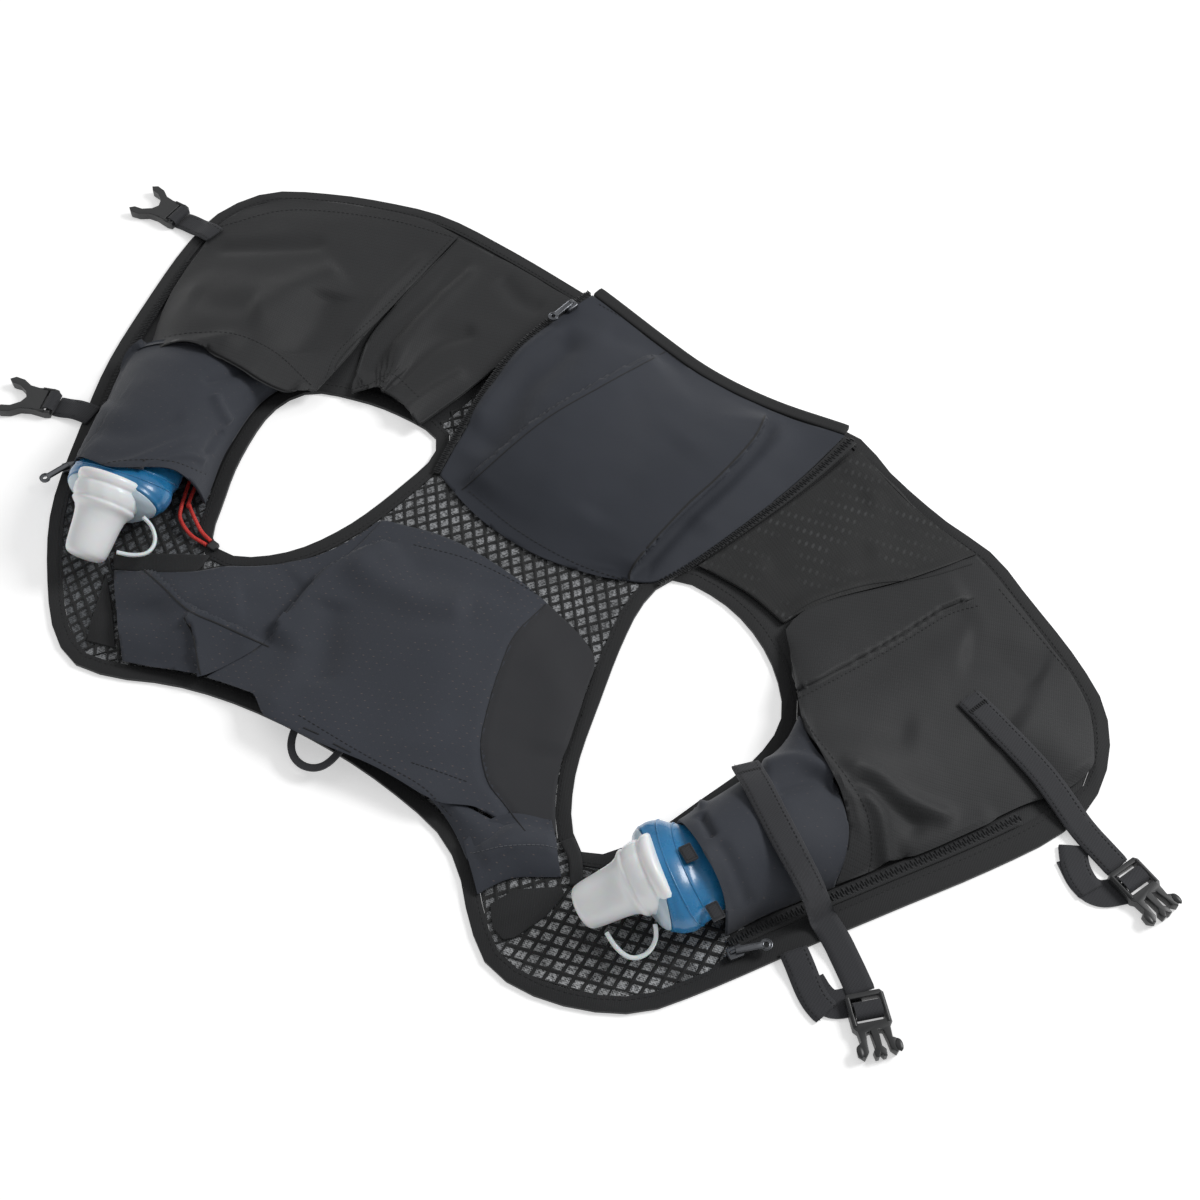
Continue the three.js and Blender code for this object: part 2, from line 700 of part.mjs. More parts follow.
// Bands that carry the armhole edges of the yoke over the shoulders
const shoulderBand = ({ band: inner, bandEdge: outer }) =>
  cloth(
    { west: curve(inner, EDGE_STEPS), east: curve(outer, EDGE_STEPS) },
    { along: 6, across: 1, height: () => 0, wall: CLOTH },
  );
add("left_shoulder_band", shoulderBand(YOKE_LEFT), TRIM);
add("right_shoulder_band", shoulderBand(YOKE_RIGHT), TRIM);

// Lining of the yoke that shows past its ends
const LEFT_FACING = [
  { x: -47.4, y: -44.4 }, { x: -41.8, y: -52.8 }, { x: -40.2, y: -54.6 },
  { x: -36, y: -52.8 }, { x: -40.8, y: -49 },
];
const RIGHT_FACING = [
  { x: 40.2, y: -40.4 }, { x: 41.3, y: -41.2 }, { x: 41.4, y: -45.2 }, { x: 40.2, y: -50.2 },
  { x: 39.2, y: -51.4 }, { x: 37, y: -51 }, { x: 34.4, y: -48.6 }, { x: 35.6, y: -44.8 },
];
const facing = (rows) => plate(rows.map(plan), CLOTH, { lift: CLOTH + GAP });
add("yoke_left_facing", facing(LEFT_FACING), NAVY);
add("yoke_right_facing", facing(RIGHT_FACING), BLACK_MESH);

// Left side pocket, open along its wavy lower edge
const LEFT_SIDE = {
  seam: [{ x: -54.5, y: 43.7 }, { x: -52.5, y: 30 }, { x: -50, y: 14.8 }, { x: -47, y: 5.8 }],
  east: [{ x: -28.7, y: 44.6 }, { x: -28.6, y: 27.5 }, { x: -28.6, y: 10.6 }],
  mouth: [
    { x: -47, y: 5.8 }, { x: -44, y: 9 }, { x: -41, y: 11.5 },
    { x: -36.8, y: 12.2 }, { x: -31.5, y: 11.3 }, { x: -28.6, y: 10.6 },
  ],
  sections: [
    { at: 0, west: 0, west_mid: 0, middle: 0, east_mid: 0, east: 0 },
    { at: 0.4, west: 0.05, west_mid: 0.3, middle: 0.4, east_mid: 0.4, east: 0.3 },
    { at: 0.8, west: 0.1, west_mid: 0.5, middle: 0.6, east_mid: 0.55, east: 0.4 },
    { at: 1, west: 0.3, west_mid: 0.95, middle: 0.8, east_mid: 1, east: 0.7 },
  ],
};
const leftSeam = curve(LEFT_SIDE.seam, EDGE_STEPS);
add(
  "left_side_pocket",
  cloth(
    {
      west: leftSeam,
      east: curve(LEFT_SIDE.east, EDGE_STEPS),
      start: stretch(rimInner, { x: -54.5, y: 44 }, { x: -28.7, y: 44.8 }),
      finish: curve(LEFT_SIDE.mouth, EDGE_STEPS),
    },
    { along: 7, across: 8, height: heights(LEFT_SIDE.sections, SIDE_PUFF) },
  ),
  BLACK_MESH,
);

// Front pockets, whose mouths stand over the flask sleeves
const FRONT_SECTIONS = [
  { at: 0, west: 0, west_mid: 0, middle: 0, east_mid: 0, east: 0 },
  { at: 0.3, west: 0.03, west_mid: 0.16, middle: 0.2, east_mid: 0.14, east: 0.02 },
  { at: 0.6, west: 0.04, west_mid: 0.36, middle: 0.46, east_mid: 0.3, east: 0.08 },
  { at: 0.85, west: 0.04, west_mid: 0.76, middle: 0.86, east_mid: 0.6, east: 0.16 },
  { at: 1, west: 0.06, west_mid: 0.88, middle: 1, east_mid: 0.8, east: 0.25 },
];
const LEFT_MOUTH = [
  { x: -77.6, y: -14.2 }, { x: -77.4, y: -10.5 }, { x: -76, y: -8 }, { x: -72.3, y: -5.5 },
  { x: -67.3, y: -2.8 }, { x: -62, y: -1 }, { x: -57.3, y: 0.3 }, { x: -53, y: 1.3 },
  { x: -49.5, y: 3 }, { x: -47, y: 5.8 },
];
const LEFT_CORNER = { x: -86, y: 29.5 };
const leftMouth = curve(LEFT_MOUTH, 2 * EDGE_STEPS);
add(
  "left_front_pocket",
  cloth(
    {
      west: stretch(pocketLine, LEFT_CORNER, { x: -76.6, y: -14.6 }),
      east: leftSeam,
      start: stretch(pocketLine, LEFT_CORNER, { x: -54.5, y: 44 }),
      finish: leftMouth,
    },
    { along: 10, across: 10, height: heights(FRONT_SECTIONS, FRONT_PUFF) },
  ),
  BLACK_MESH,
);

const RIGHT_FOLD = [
  { x: 53.3, y: 42.8 }, { x: 46.3, y: 29.5 }, { x: 40, y: 20.3 }, { x: 38, y: 13.5 },
];
const RIGHT_SEAM_FOOT = [{ x: 41, y: 10.4 }, { x: 45.4, y: 6.2 }];
const RIGHT_MOUTH = [
  { x: 71, y: -16.4 }, { x: 70.4, y: -14 }, { x: 68.5, y: -10.8 }, { x: 65.5, y: -8.3 },
  { x: 60.3, y: -5.3 }, { x: 54, y: -2.4 }, { x: 50, y: 1 }, { x: 45.4, y: 6.2 },
];
const RIGHT_CORNER = { x: 83, y: 28 };
const rightFold = curve(RIGHT_FOLD, EDGE_STEPS);
const rightMouth = curve(RIGHT_MOUTH, 2 * EDGE_STEPS);
add(
  "right_front_pocket",
  cloth(
    {
      west: stretch(pocketLine, RIGHT_CORNER, { x: 70.2, y: -16.4 }),
      east: [...rightFold, ...RIGHT_SEAM_FOOT.map(plan)],
      start: stretch(pocketLine, RIGHT_CORNER, { x: 53.3, y: 42.8 }),
      finish: rightMouth,
    },
    { along: 10, across: 10, height: heights(FRONT_SECTIONS, FRONT_PUFF) },
  ),
  BLACK_MESH,
);

// Sheer side panel between the back pocket and the right front pocket
const RIGHT_SIDE_SECTIONS = [
  { at: 0, west: 0.25, west_mid: 0.1, middle: 0, east_mid: 0, east: 0 },
  { at: 0.5, west: 0.1, west_mid: 0.2, middle: 0.3, east_mid: 0.2, east: 0.1 },
  { at: 1, west: 0, west_mid: 0.05, middle: 0.1, east_mid: 0.1, east: 0.1 },
];
const rightSideFoot = stretch(rightBound, { x: 21.6, y: 12.2 }, { x: 37.4, y: 11.6 });
add(
  "right_side_panel",
  cloth(
    {
      west: beside(backZipEast.slice(0, -2), PANEL_STEP),
      east: rightFold,
      start: stretch(rimInner, { x: 27.4, y: 48 }, { x: 53.3, y: 43 }),
      finish: rightSideFoot,
    },
    { along: 7, across: 6, height: heights(RIGHT_SIDE_SECTIONS, SIDE_PUFF) },
  ),
  BLACK_MESH,
);

// Flask sleeves: arches between the bound edges, from the mouth down to the front pocket
const SLEEVE_SECTIONS = [
  { at: 0, rise: 1 }, { at: 0.25, rise: 0.93 }, { at: 0.6, rise: 0.74 }, { at: 1, rise: 0.56 },
];
const LEFT_SLEEVE_MOUTH = [
  { x: -66.5, y: -32.6 }, { x: -62, y: -32.4 }, { x: -56.5, y: -31.3 },
  { x: -52, y: -29.8 }, { x: -48.5, y: -28 }, { x: -46, y: -25.4 },
];
const RIGHT_SLEEVE_MOUTH = [
  { x: 62.4, y: -33 }, { x: 61, y: -32 }, { x: 57.8, y: -30.6 }, { x: 53, y: -28.6 },
  { x: 49, y: -26.6 }, { x: 46.6, y: -25 },
];
const clearOf = (line, side) => beside(line, side * MOUTH_STEP);
const SLEEVE_SHAPE = {
  along: 8,
  across: 12,
  place: archPlace,
  height: arch(SLEEVE_SECTIONS, SLEEVE_RISE),
};
const SLEEVES = {
  left: {
    west: stretch(pocketLine, { x: -66, y: -32.6 }, { x: -77.4, y: -16.6 }),
    east: stretch(leftBound, { x: -46, y: -25.4 }, { x: -52.6, y: 0.6 }),
    start: curve(LEFT_SLEEVE_MOUTH, EDGE_STEPS),
    finish: clearOf(leftMouth.slice(0, -4), -1),
  },
  right: {
    west: stretch(pocketLine, { x: 61.8, y: -33 }, { x: 70, y: -18.6 }),
    east: stretch(rightBound, { x: 46.6, y: -25 }, { x: 49.2, y: 0.6 }),
    start: curve(RIGHT_SLEEVE_MOUTH, EDGE_STEPS),
    finish: clearOf(rightMouth.slice(0, -4), 1),
  },
};
Object.entries(SLEEVES).forEach(([side, edges]) => {
  add(side + "_flask_sleeve", cloth(edges, SLEEVE_SHAPE), NAVY);
});

// Centre-front zips between the binding and the pockets
const flat = () => 0;
const frontZip = (from, to) =>
  cloth(
    { west: stretch(rimInner, from, to), east: stretch(pocketLine, from, to) },
    { along: 10, across: 1, height: flat, wall: FRONT_ZIP.thick, lift: CLOTH + GAP },
  );
add("left_front_zip", frontZip({ x: -88, y: 11 }, { x: -67, y: -31 }), TRIM);
add("right_front_zip", frontZip({ x: 83, y: 10 }, { x: 62, y: -31 }), TRIM);

vest.updateMatrixWorld(true);

// Webbing, laid in the order in which one strap passes over another
const STRAPS = [
  {
    name: "left_waist_webbing",
    steps: 4,
    line: [{ x: -87, y: 16.3 }, { x: -91, y: 16.3 }, { x: -95.4, y: 16 }],
  },
  {
    name: "left_chest_webbing",
    steps: 4,
    line: [{ x: -72.6, y: -24.6 }, { x: -75.5, y: -25.3 }, { x: -79.2, y: -26.8 }],
  },
  {
    name: "right_waist_tail",
    steps: 5,
    line: [{ x: 90.6, y: 9.4 }, { x: 92.4, y: 7 }, { x: 94.4, y: 5.6 }, { x: 96.2, y: 4.9 }],
  },
  {
    name: "right_chest_tail",
    steps: 5,
    line: [{ x: 70, y: -28 }, { x: 73.4, y: -30 }, { x: 76.4, y: -31.8 }, { x: 78.6, y: -32.2 }],
  },
  {
    name: "right_waist_strap",
    steps: 12,
    line: [
      { x: 66.8, y: 18.6 }, { x: 75, y: 16.8 }, { x: 82, y: 15.3 },
      { x: 88, y: 13 }, { x: 93.5, y: 11.2 }, { x: 97.2, y: 10.4 },
    ],
  },
  {
    name: "right_chest_strap",
    steps: 18,
    line: [
      { x: 50, y: -12.8 }, { x: 54, y: -15.6 }, { x: 58.7, y: -18.4 }, { x: 64, y: -20.8 },
      { x: 70, y: -21.8 }, { x: 74, y: -23.3 }, { x: 77.5, y: -25.2 }, { x: 80.4, y: -27 },
    ],
  },
];
const strapEnds = {};
STRAPS.forEach(({ name, line, steps }) => {
  const strap = add(name, band(line, { ...WEBBING, steps, least: 2 * GAP }), TRIM);
  strap.updateMatrixWorld(true);
  const [before, end] = curve(line, steps).slice(-2);
  strapEnds[name] = { end, way: end.clone().sub(before).normalize() };
});

// Buckles: half outlines in shares of the length along and the width across
const MALE_HALF = [
  { along: -0.5, across: 0 }, { along: -0.5, across: 0.42 }, { along: -0.44, across: 0.5 },
  { along: 0.02, across: 0.5 }, { along: 0.08, across: 0.42 }, { along: 0.24, across: 0.4 },
  { along: 0.28, across: 0.52 }, { along: 0.4, across: 0.54 }, { along: 0.48, across: 0.4 },
  { along: 0.4, across: 0.28 }, { along: 0.26, across: 0.26 }, { along: 0.12, across: 0.22 },
  { along: 0.1, across: 0.1 }, { along: 0.34, across: 0.08 }, { along: 0.4, across: 0.16 },
  { along: 0.5, across: 0.14 }, { along: 0.5, across: 0.06 }, { along: 0.44, across: 0 },
];
const FEMALE_HALF = [
  { along: -0.5, across: 0 }, { along: -0.5, across: 0.46 }, { along: -0.4, across: 0.5 },
  { along: -0.12, across: 0.44 }, { along: 0.06, across: 0.48 }, { along: 0.22, across: 0.66 },
  { along: 0.4, across: 0.72 }, { along: 0.5, across: 0.6 }, { along: 0.42, across: 0.46 },
  { along: 0.26, across: 0.42 }, { along: 0.1, across: 0.22 }, { along: 0.04, across: 0 },
];
const MALE = {
  half: MALE_HALF,
  slots: [
    { from: -0.42, to: -0.28, across: 0.38 },
    { from: -0.18, to: -0.04, across: 0.36 },
  ],
};
const FEMALE = {
  half: FEMALE_HALF,
  slots: [{ from: -0.42, to: -0.3, across: 0.38 }],
};
const BUCKLES = [
  { name: "right_waist_buckle", strap: "right_waist_strap", turn: -4, kind: MALE },
  { name: "right_chest_buckle", strap: "right_chest_strap", turn: -7, kind: MALE },
  { name: "left_waist_buckle", strap: "left_waist_webbing", turn: 3, kind: FEMALE },
  { name: "left_chest_buckle", strap: "left_chest_webbing", turn: 4, kind: FEMALE },
];
BUCKLES.forEach(({ name, strap, turn, kind }) => {
  const point = (along, across) =>
    new THREE.Vector2(along * BUCKLE.length, across * BUCKLE.width);
  const upper = kind.half.map((row) => point(row.along, row.across));
  const lower = kind.half.slice(1, -1).reverse().map((row) => point(row.along, -row.across));
  const holes = kind.slots.map(({ from, to, across }) => [
    point(from, -across), point(to, -across), point(to, across), point(from, across),
  ]);
  const buckle = add(name, plate([...upper, ...lower], BUCKLE.thick, { holes }), PLASTIC);
  const angle = THREE.MathUtils.degToRad(turn);
  const seat = GAP + (WEBBING.width / 2) * Math.abs(Math.sin(angle));
  const { end, way } = strapEnds[strap];
  const pointing = way.clone().rotateAround(new THREE.Vector2(), angle);
  const place = end.clone()
    .addScaledVector(way, seat)
    .addScaledVector(pointing, BUCKLE.length / 2);
  buckle.position.set(place.x, place.y, 0);
  buckle.rotation.z = pointing.angle();
});

// Flasks. In the sleeve the sections take shares of its width and rise at a place along it
const FLASK_IN_SLEEVE = [
  { along: 0.94, width: 0.3, rise: 0.4 },
  { along: 0.88, width: 0.66, rise: 0.66 },
  { along: 0.7, width: 0.82, rise: 0.82 },
  { along: 0.35, width: 0.8, rise: 0.86 },
  { along: 0.15, width: 0.76, rise: 0.88 },
  { along: 0.03, width: 0.76, rise: 0.9 },
];
// Past the mouth they take shares of the collar's length and of the flask's own section
const FLASK_COLLAR = [
  { at: 0.18, width: 0.92, depth: 1 },
  { at: 0.38, width: 0.98, depth: 1 },
  { at: 0.46, width: 1.05, depth: 1.08 },
  { at: 0.8, width: 1.05, depth: 1.08 },
  { at: 0.88, width: 1, depth: 1.02 },
  { at: 1, width: 0.98, depth: 1 },
];
const SHOULDER_DISC = [
  { at: 0, width: 0.96, depth: 0.98 },
  { at: 0.5, width: 0.9, depth: 0.92 },
  { at: 1, width: 0.76, depth: 0.94 },
];
const CAP_RADII = [
  { at: 0, radius: 0.72 }, { at: 0.08, radius: 0.74 }, { at: 0.12, radius: 0.66 },
  { at: 0.4, radius: 0.6 }, { at: 0.54, radius: 0.44 }, { at: 0.6, radius: 0.39 },
  { at: 0.97, radius: 0.36 }, { at: 1, radius: 0.3 },
];
const LOOP_ROUTE = [
  { along: 0.04, out: 1.0, drop: 0.05 }, { along: 0.06, out: 1.2, drop: 0.25 },
  { along: 0.2, out: 1.4, drop: 0.42 }, { along: 0.38, out: 1.36, drop: 0.46 },
  { along: 0.5, out: 1.05, drop: 0.4 }, { along: 0.55, out: 0.72, drop: 0.32 },
];
const FLASK_TOWARD = { left: { x: 0.342, y: -0.94 }, right: { x: -0.545, y: -0.84 } };
const FLASK_SIDES = 18;
const CAP_SIDES = 16;
const LOOP_STEPS = 12;
const FLASK_BASE = CLOTH + GAP;
const CAP_DIP = 0.24;
const UP = new THREE.Vector3(0, 0, 1);
const lifted = (p, z) => new THREE.Vector3(p.x, p.y, z);
Object.entries(SLEEVES).forEach(([side, edges]) => {
  const planAt = planOf(edges, SLEEVE_SHAPE.along, SLEEVE_SHAPE.across);
  const inSleeve = FLASK_IN_SLEEVE.map(({ along, width, rise }) => {
    const across = lifted(planAt(along, 1).sub(planAt(along, 0)), 0);
    const room = SLEEVE_SHAPE.height(along, 0.5);
    const half_height = (LAID + rise * room - FLASK_BASE) / 2;
    const half_width = Math.min(FLASK.width, width * across.length()) / 2;
    const centre = lifted(planAt(along, 0.5), FLASK_BASE + half_height);
    return { centre, across: across.normalize(), up: UP, half_width, half_height };
  });

  const mouth = planAt(0, 0.5);
  const level = LAID + CLOTH + 4 * GAP + (CAP_RADII[1].radius * FLASK.width) / 2;
  const way = new THREE.Vector3(FLASK_TOWARD[side].x, FLASK_TOWARD[side].y, 0).normalize();
  const sideways = UP.clone().cross(way);
  if (sideways.dot(inSleeve[0].across) < 0) sideways.negate();
  const frameAt = (out, z) => ({
    centre: lifted(mouth, z).addScaledVector(way, out),
    across: sideways,
    up: UP,
  });
  const climb = inSleeve[inSleeve.length - 1].centre.z;
  const oval = (out, { width, depth }) => ({
    ...frameAt(out, THREE.MathUtils.lerp(climb, level, Math.min(1, out / FLASK.collar))),
    half_width: (width * FLASK.width) / 2,
    half_height: (depth * FLASK.depth) / 2,
  });
  const collar = FLASK_COLLAR.map((row) => oval(row.at * FLASK.collar, row));
  add(side + "_flask_body", loft([...inSleeve, ...collar], FLASK_SIDES), BLUE);

  const discFrom = FLASK.collar + GAP;
  const disc = SHOULDER_DISC.map((row) => oval(discFrom + row.at * FLASK.disc, row));
  add(side + "_flask_shoulder", loft(disc, FLASK_SIDES), CLEAR);

  const capFrom = discFrom + FLASK.disc + GAP;
  const cap = CAP_RADII.map(({ at, radius }) => {
    const out = at * FLASK.cap;
    const half = (radius * FLASK.width) / 2;
    return { ...frameAt(capFrom + out, level - CAP_DIP * out), half_width: half, half_height: half };
  });
  add(side + "_flask_cap", loft(cap, CAP_SIDES), CLEAR);

  const outward = UP.clone().cross(way);
  const reach = (CAP_RADII[0].radius * FLASK.width) / 2 + FLASK.wire + GAP;
  const route = LOOP_ROUTE.map((row) =>
    frameAt(capFrom + row.along * FLASK.cap, level * (1 - row.drop)).centre
      .addScaledVector(outward, row.out * reach),
  );
  add(side + "_flask_loop", tube(route, 2 * FLASK.wire, CORD.sides, LOOP_STEPS), CLEAR);
});
vest.updateMatrixWorld(true);

// Tabs at the sleeve mouths
const TABS = [
  { name: "left_sleeve_tab", x: -51.3, y: -31.6, turn: -16 },
  { name: "right_sleeve_tab", x: 53.6, y: -30.3, turn: -24 },
  { name: "right_sleeve_side_tab", x: 60.6, y: -33.4, turn: -24 },
];
const FOOTPRINT = [-0.5, -0.25, 0, 0.25, 0.5];
const footprintTop = (spot, length, width, angle) =>
  Math.max(...FOOTPRINT.flatMap((a) =>
    FOOTPRINT.map((b) => {
      const p = new THREE.Vector2(a * length, b * width).rotateAround(new THREE.Vector2(), angle);
      return topOf(spot.x + p.x, spot.y + p.y);
    }),
  ));
TABS.forEach(({ name, x, y, turn }) => {
  const spot = plan({ x, y });
  const angle = THREE.MathUtils.degToRad(turn);
  const level = footprintTop(spot, TAB.width, TAB.length, angle) + GAP;
  const tab = add(name, new THREE.BoxGeometry(TAB.width, TAB.length, TAB.thick), TRIM);
  tab.position.set(spot.x, spot.y, level + TAB.thick / 2);
  tab.rotation.z = angle;
});

// Zip sliders and their pulls
const pullOutline = (length, width) => {
  const half = width / 2;
  const shape = new THREE.Shape();
  shape.moveTo(0, -half * 0.5);
  shape.lineTo(length - width, -half * 0.5);
  shape.absarc(length - half, 0, half, -2.6, 2.6, false);
  shape.lineTo(0, half * 0.5);
  shape.closePath();
  const hole = new THREE.Path();
  hole.absarc(length - half, 0, half * 0.55, 0, 2 * Math.PI, true);
  shape.holes.push(hole);
  return shape;
};
const SLIDERS = [
  { name: "back_zip", x: -25.9, y: 40.2, along: -97, hang: -92 },
  { name: "left_front_zip", x: -67.2, y: -34.4, along: -125, hang: -100 },
  { name: "right_front_zip", x: 64.4, y: -33.4, along: 62, hang: 50 },
];
SLIDERS.forEach(({ name, x, y, along, hang }) => {
  const spot = plan({ x, y });
  const angle = THREE.MathUtils.degToRad(along);
  const level = footprintTop(spot, SLIDER.length, SLIDER.width, angle) + GAP;
  const body = new THREE.BoxGeometry(SLIDER.length, SLIDER.width, SLIDER.thick);
  const slider = add(name + "_slider", body, METAL);
  slider.position.set(spot.x, spot.y, level + SLIDER.thick / 2);
  slider.rotation.z = angle;
  const outline = pullOutline(PULL.length, PULL.width);
  const geometry = new THREE.ExtrudeGeometry(outline, {
    depth: PULL.thick,
    bevelEnabled: false,
    curveSegments: 5,
  });
  const pull = add(name + "_pull", geometry, METAL);
  pull.position.set(spot.x, spot.y, level + SLIDER.thick + GAP);
  pull.rotation.z = THREE.MathUtils.degToRad(hang);
});

// Hang loop at the neck, a folded tape that droops from the yoke
const HANG_OUTER = [
  { x: -5, y: -44.9 }, { x: -4.6, y: -47.6 }, { x: -2.6, y: -50 },
  { x: 0.6, y: -50.4 }, { x: 3.4, y: -48.6 }, { x: 4.2, y: -44.4 },
];
const hangOuter = curve(HANG_OUTER, 10);
const HANG_DROOP = 0.7;
const hangLevel = YOKE_PUFF * 1.05;
add(
  "hang_loop",
  cloth(
    { west: hangOuter, east: beside(hangOuter, HANG_LOOP.width) },
    {
      along: 10,
      across: 1,
      height: (u) => hangLevel * (1 - HANG_DROOP * Math.sin(Math.PI * u)),
      wall: HANG_LOOP.thick,
    },
  ),
  TRIM,
);

// Elastic cord from the left sleeve to the armhole, with its end fitting
const CORD_FITTING = { x: -38.3, y: -30.6, size: 6, thick: 3 };
const CORD_ROUTES = {
  upper: [
    { x: -46.8, y: -27.6, z: 7 }, { x: -44.4, y: -28.8, z: 7.5 },
    { x: -41.6, y: -29.9, z: 5.5 }, { x: -39.2, y: -30.2, z: 4.2 },
  ],
  lower: [
    { x: -47.4, y: -28.4, z: 7 }, { x: -45.6, y: -30.4, z: 7 },
    { x: -42.4, y: -31.4, z: 5.5 }, { x: -39.2, y: -31.1, z: 4.2 },
  ],
};
Object.entries(CORD_ROUTES).forEach(([name, rows]) => {
  const route = rows.map((row) => {
    const p = plan(row);
    return new THREE.Vector3(p.x, p.y, row.z);
  });
  add("elastic_cord_" + name, tube(route, CORD.diameter, CORD.sides, 12), RED);
});
const fitting = new THREE.BoxGeometry(CORD_FITTING.size, CORD_FITTING.size, CORD_FITTING.thick);
const fittingPlace = plan(CORD_FITTING);
const fittingMesh = add("cord_fitting", fitting, PLASTIC);
fittingMesh.position.set(fittingPlace.x, fittingPlace.y, LAID + CORD_FITTING.thick / 2);

// Stand the vest on the floor, with its origin under the middle of its extent
const vestBox = new THREE.Box3().setFromObject(vest);
const middle = vestBox.getCenter(new THREE.Vector3());
vest.position.set(-middle.x, -middle.y, -vestBox.min.z);
vest.name = "running_hydration_vest";

export default vest;
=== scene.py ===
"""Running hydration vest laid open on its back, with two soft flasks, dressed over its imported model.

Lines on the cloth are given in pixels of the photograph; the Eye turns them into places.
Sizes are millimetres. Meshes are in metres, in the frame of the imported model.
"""

import logging
import math
from dataclasses import dataclass
from enum import Enum
from typing import Protocol, Sequence

import bmesh
import bpy
import numpy as np
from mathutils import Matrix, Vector, noise
from mathutils.bvhtree import BVHTree


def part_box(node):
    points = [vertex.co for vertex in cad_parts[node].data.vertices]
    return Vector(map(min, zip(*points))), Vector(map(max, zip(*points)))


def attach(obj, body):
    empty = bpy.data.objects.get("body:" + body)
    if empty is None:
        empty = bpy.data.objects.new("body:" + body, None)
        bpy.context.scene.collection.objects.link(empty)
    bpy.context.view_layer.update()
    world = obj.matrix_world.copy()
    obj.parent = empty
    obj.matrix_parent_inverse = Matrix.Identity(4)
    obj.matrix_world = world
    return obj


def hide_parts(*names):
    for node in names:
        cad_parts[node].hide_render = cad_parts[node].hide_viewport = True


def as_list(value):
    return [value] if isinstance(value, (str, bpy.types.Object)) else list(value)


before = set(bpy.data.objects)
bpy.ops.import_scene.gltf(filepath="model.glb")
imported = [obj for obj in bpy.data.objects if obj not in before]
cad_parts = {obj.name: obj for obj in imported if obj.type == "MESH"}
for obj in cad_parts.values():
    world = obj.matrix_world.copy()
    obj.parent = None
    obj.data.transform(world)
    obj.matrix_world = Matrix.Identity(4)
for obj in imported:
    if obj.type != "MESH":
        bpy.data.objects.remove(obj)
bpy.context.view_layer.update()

logging.basicConfig(level=logging.INFO, format="%(message)s")
LOG = logging.getLogger("vest")

MM = 0.001
Pair = tuple[float, float]
Pixel = Pair
Line = Sequence[Pixel]
Colour = tuple[float, float, float]
Mesh = tuple[np.ndarray, list[list[int]]]


# The photograph's eye


@dataclass(frozen=True)
class Eye:
    """Camera at the photograph's viewing angle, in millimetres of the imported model's frame."""

    location: tuple[float, float, float] = (456.2, -476.5, 910.0)
    target: tuple[float, float, float] = (50.85, 15.19, 0.0)
    lens: float = 55.0
    sensor: float = 36.0
    picture: float = 1200.0

    def axes(self) -> tuple[np.ndarray, np.ndarray, np.ndarray]:
        """Gives the directions to the right, up and forward.

        Returns:
            The three directions, each of length 1.
        """
        forward = unit(np.array(self.target) - np.array(self.location))
        right = unit(np.cross(forward, (0.0, 0.0, 1.0)))
        return right, np.cross(right, forward), forward

    def make_camera(self) -> bpy.types.Object:
        """Creates the scene's camera.

        Returns:
            The camera.
        """
        data = bpy.data.cameras.new("camera")
        data.lens = self.lens
        data.sensor_width = self.sensor
        camera = link(bpy.data.objects.new("camera", data))
        camera.location = Vector(self.location) * MM
        aim = Vector(self.target) - Vector(self.location)
        camera.rotation_euler = aim.to_track_quat("-Z", "Y").to_euler()
        bpy.context.scene.camera = camera
        return camera

    def floor(self, line: Line) -> np.ndarray:
        """Finds where the eye sees pixels on the floor.

        Args:
            line: Pixels of the photograph.

        Returns:
            Their places on the floor in millimetres.
        """
        right, up, forward = self.axes()
        focal = self.lens / self.sensor * self.picture
        pixels = np.array(line, float)
        aside = (pixels[:, :1] - self.picture / 2) / focal
        above = (self.picture / 2 - pixels[:, 1:]) / focal
        ways = forward + aside * right + above * up
        start = np.array(self.location)
        return (start - ways * (start[2] / ways[:, 2:]))[:, :2]

    def above(self, line: Line, height: float) -> np.ndarray:
        """Finds where the eye sees pixels at a height over the floor.

        Args:
            line: Pixels of the photograph.
            height: The height in metres.

        Returns:
            Their points in metres.
        """
        start = np.array(self.location)[:2] * MM
        share = 1 - height / (self.location[2] * MM)
        places = start + (self.floor(line) * MM - start) * share
        return np.column_stack([places, np.full(len(places), height)])

    def seen(self, points: np.ndarray) -> np.ndarray:
        """Finds where the eye sees points on the floor.

        Args:
            points: Points in metres.

        Returns:
            Their places on the floor in millimetres.
        """
        start = np.array(self.location) * MM
        share = start[2] / (start[2] - points[:, 2:])
        return (start[:2] + (points[:, :2] - start[:2]) * share) / MM

    def cast(self, place: np.ndarray, surface: BVHTree) -> tuple[Vector, Vector] | None:
        """Finds what the eye sees at a place on the floor.

        Args:
            place: The place in millimetres.
            surface: What may stand before it.

        Returns:
            The point and its normal, or nothing where the sight line meets no surface.
        """
        start = Vector(self.location) * MM
        way = Vector((place[0], place[1], 0.0)) * MM - start
        point, normal, _, _ = surface.ray_cast(start, way.normalized())
        if point is None:
            return None
        return point, normal if normal.z > 0 else -normal


def unit(way: np.ndarray) -> np.ndarray:
    """Scales a direction to length 1."""
    return way / max(float(np.linalg.norm(way)), 1e-12)


def link(made: bpy.types.Object) -> bpy.types.Object:
    """Puts an object into the scene."""
    bpy.context.scene.collection.objects.link(made)
    return made


EYE = Eye()


# Shader maths


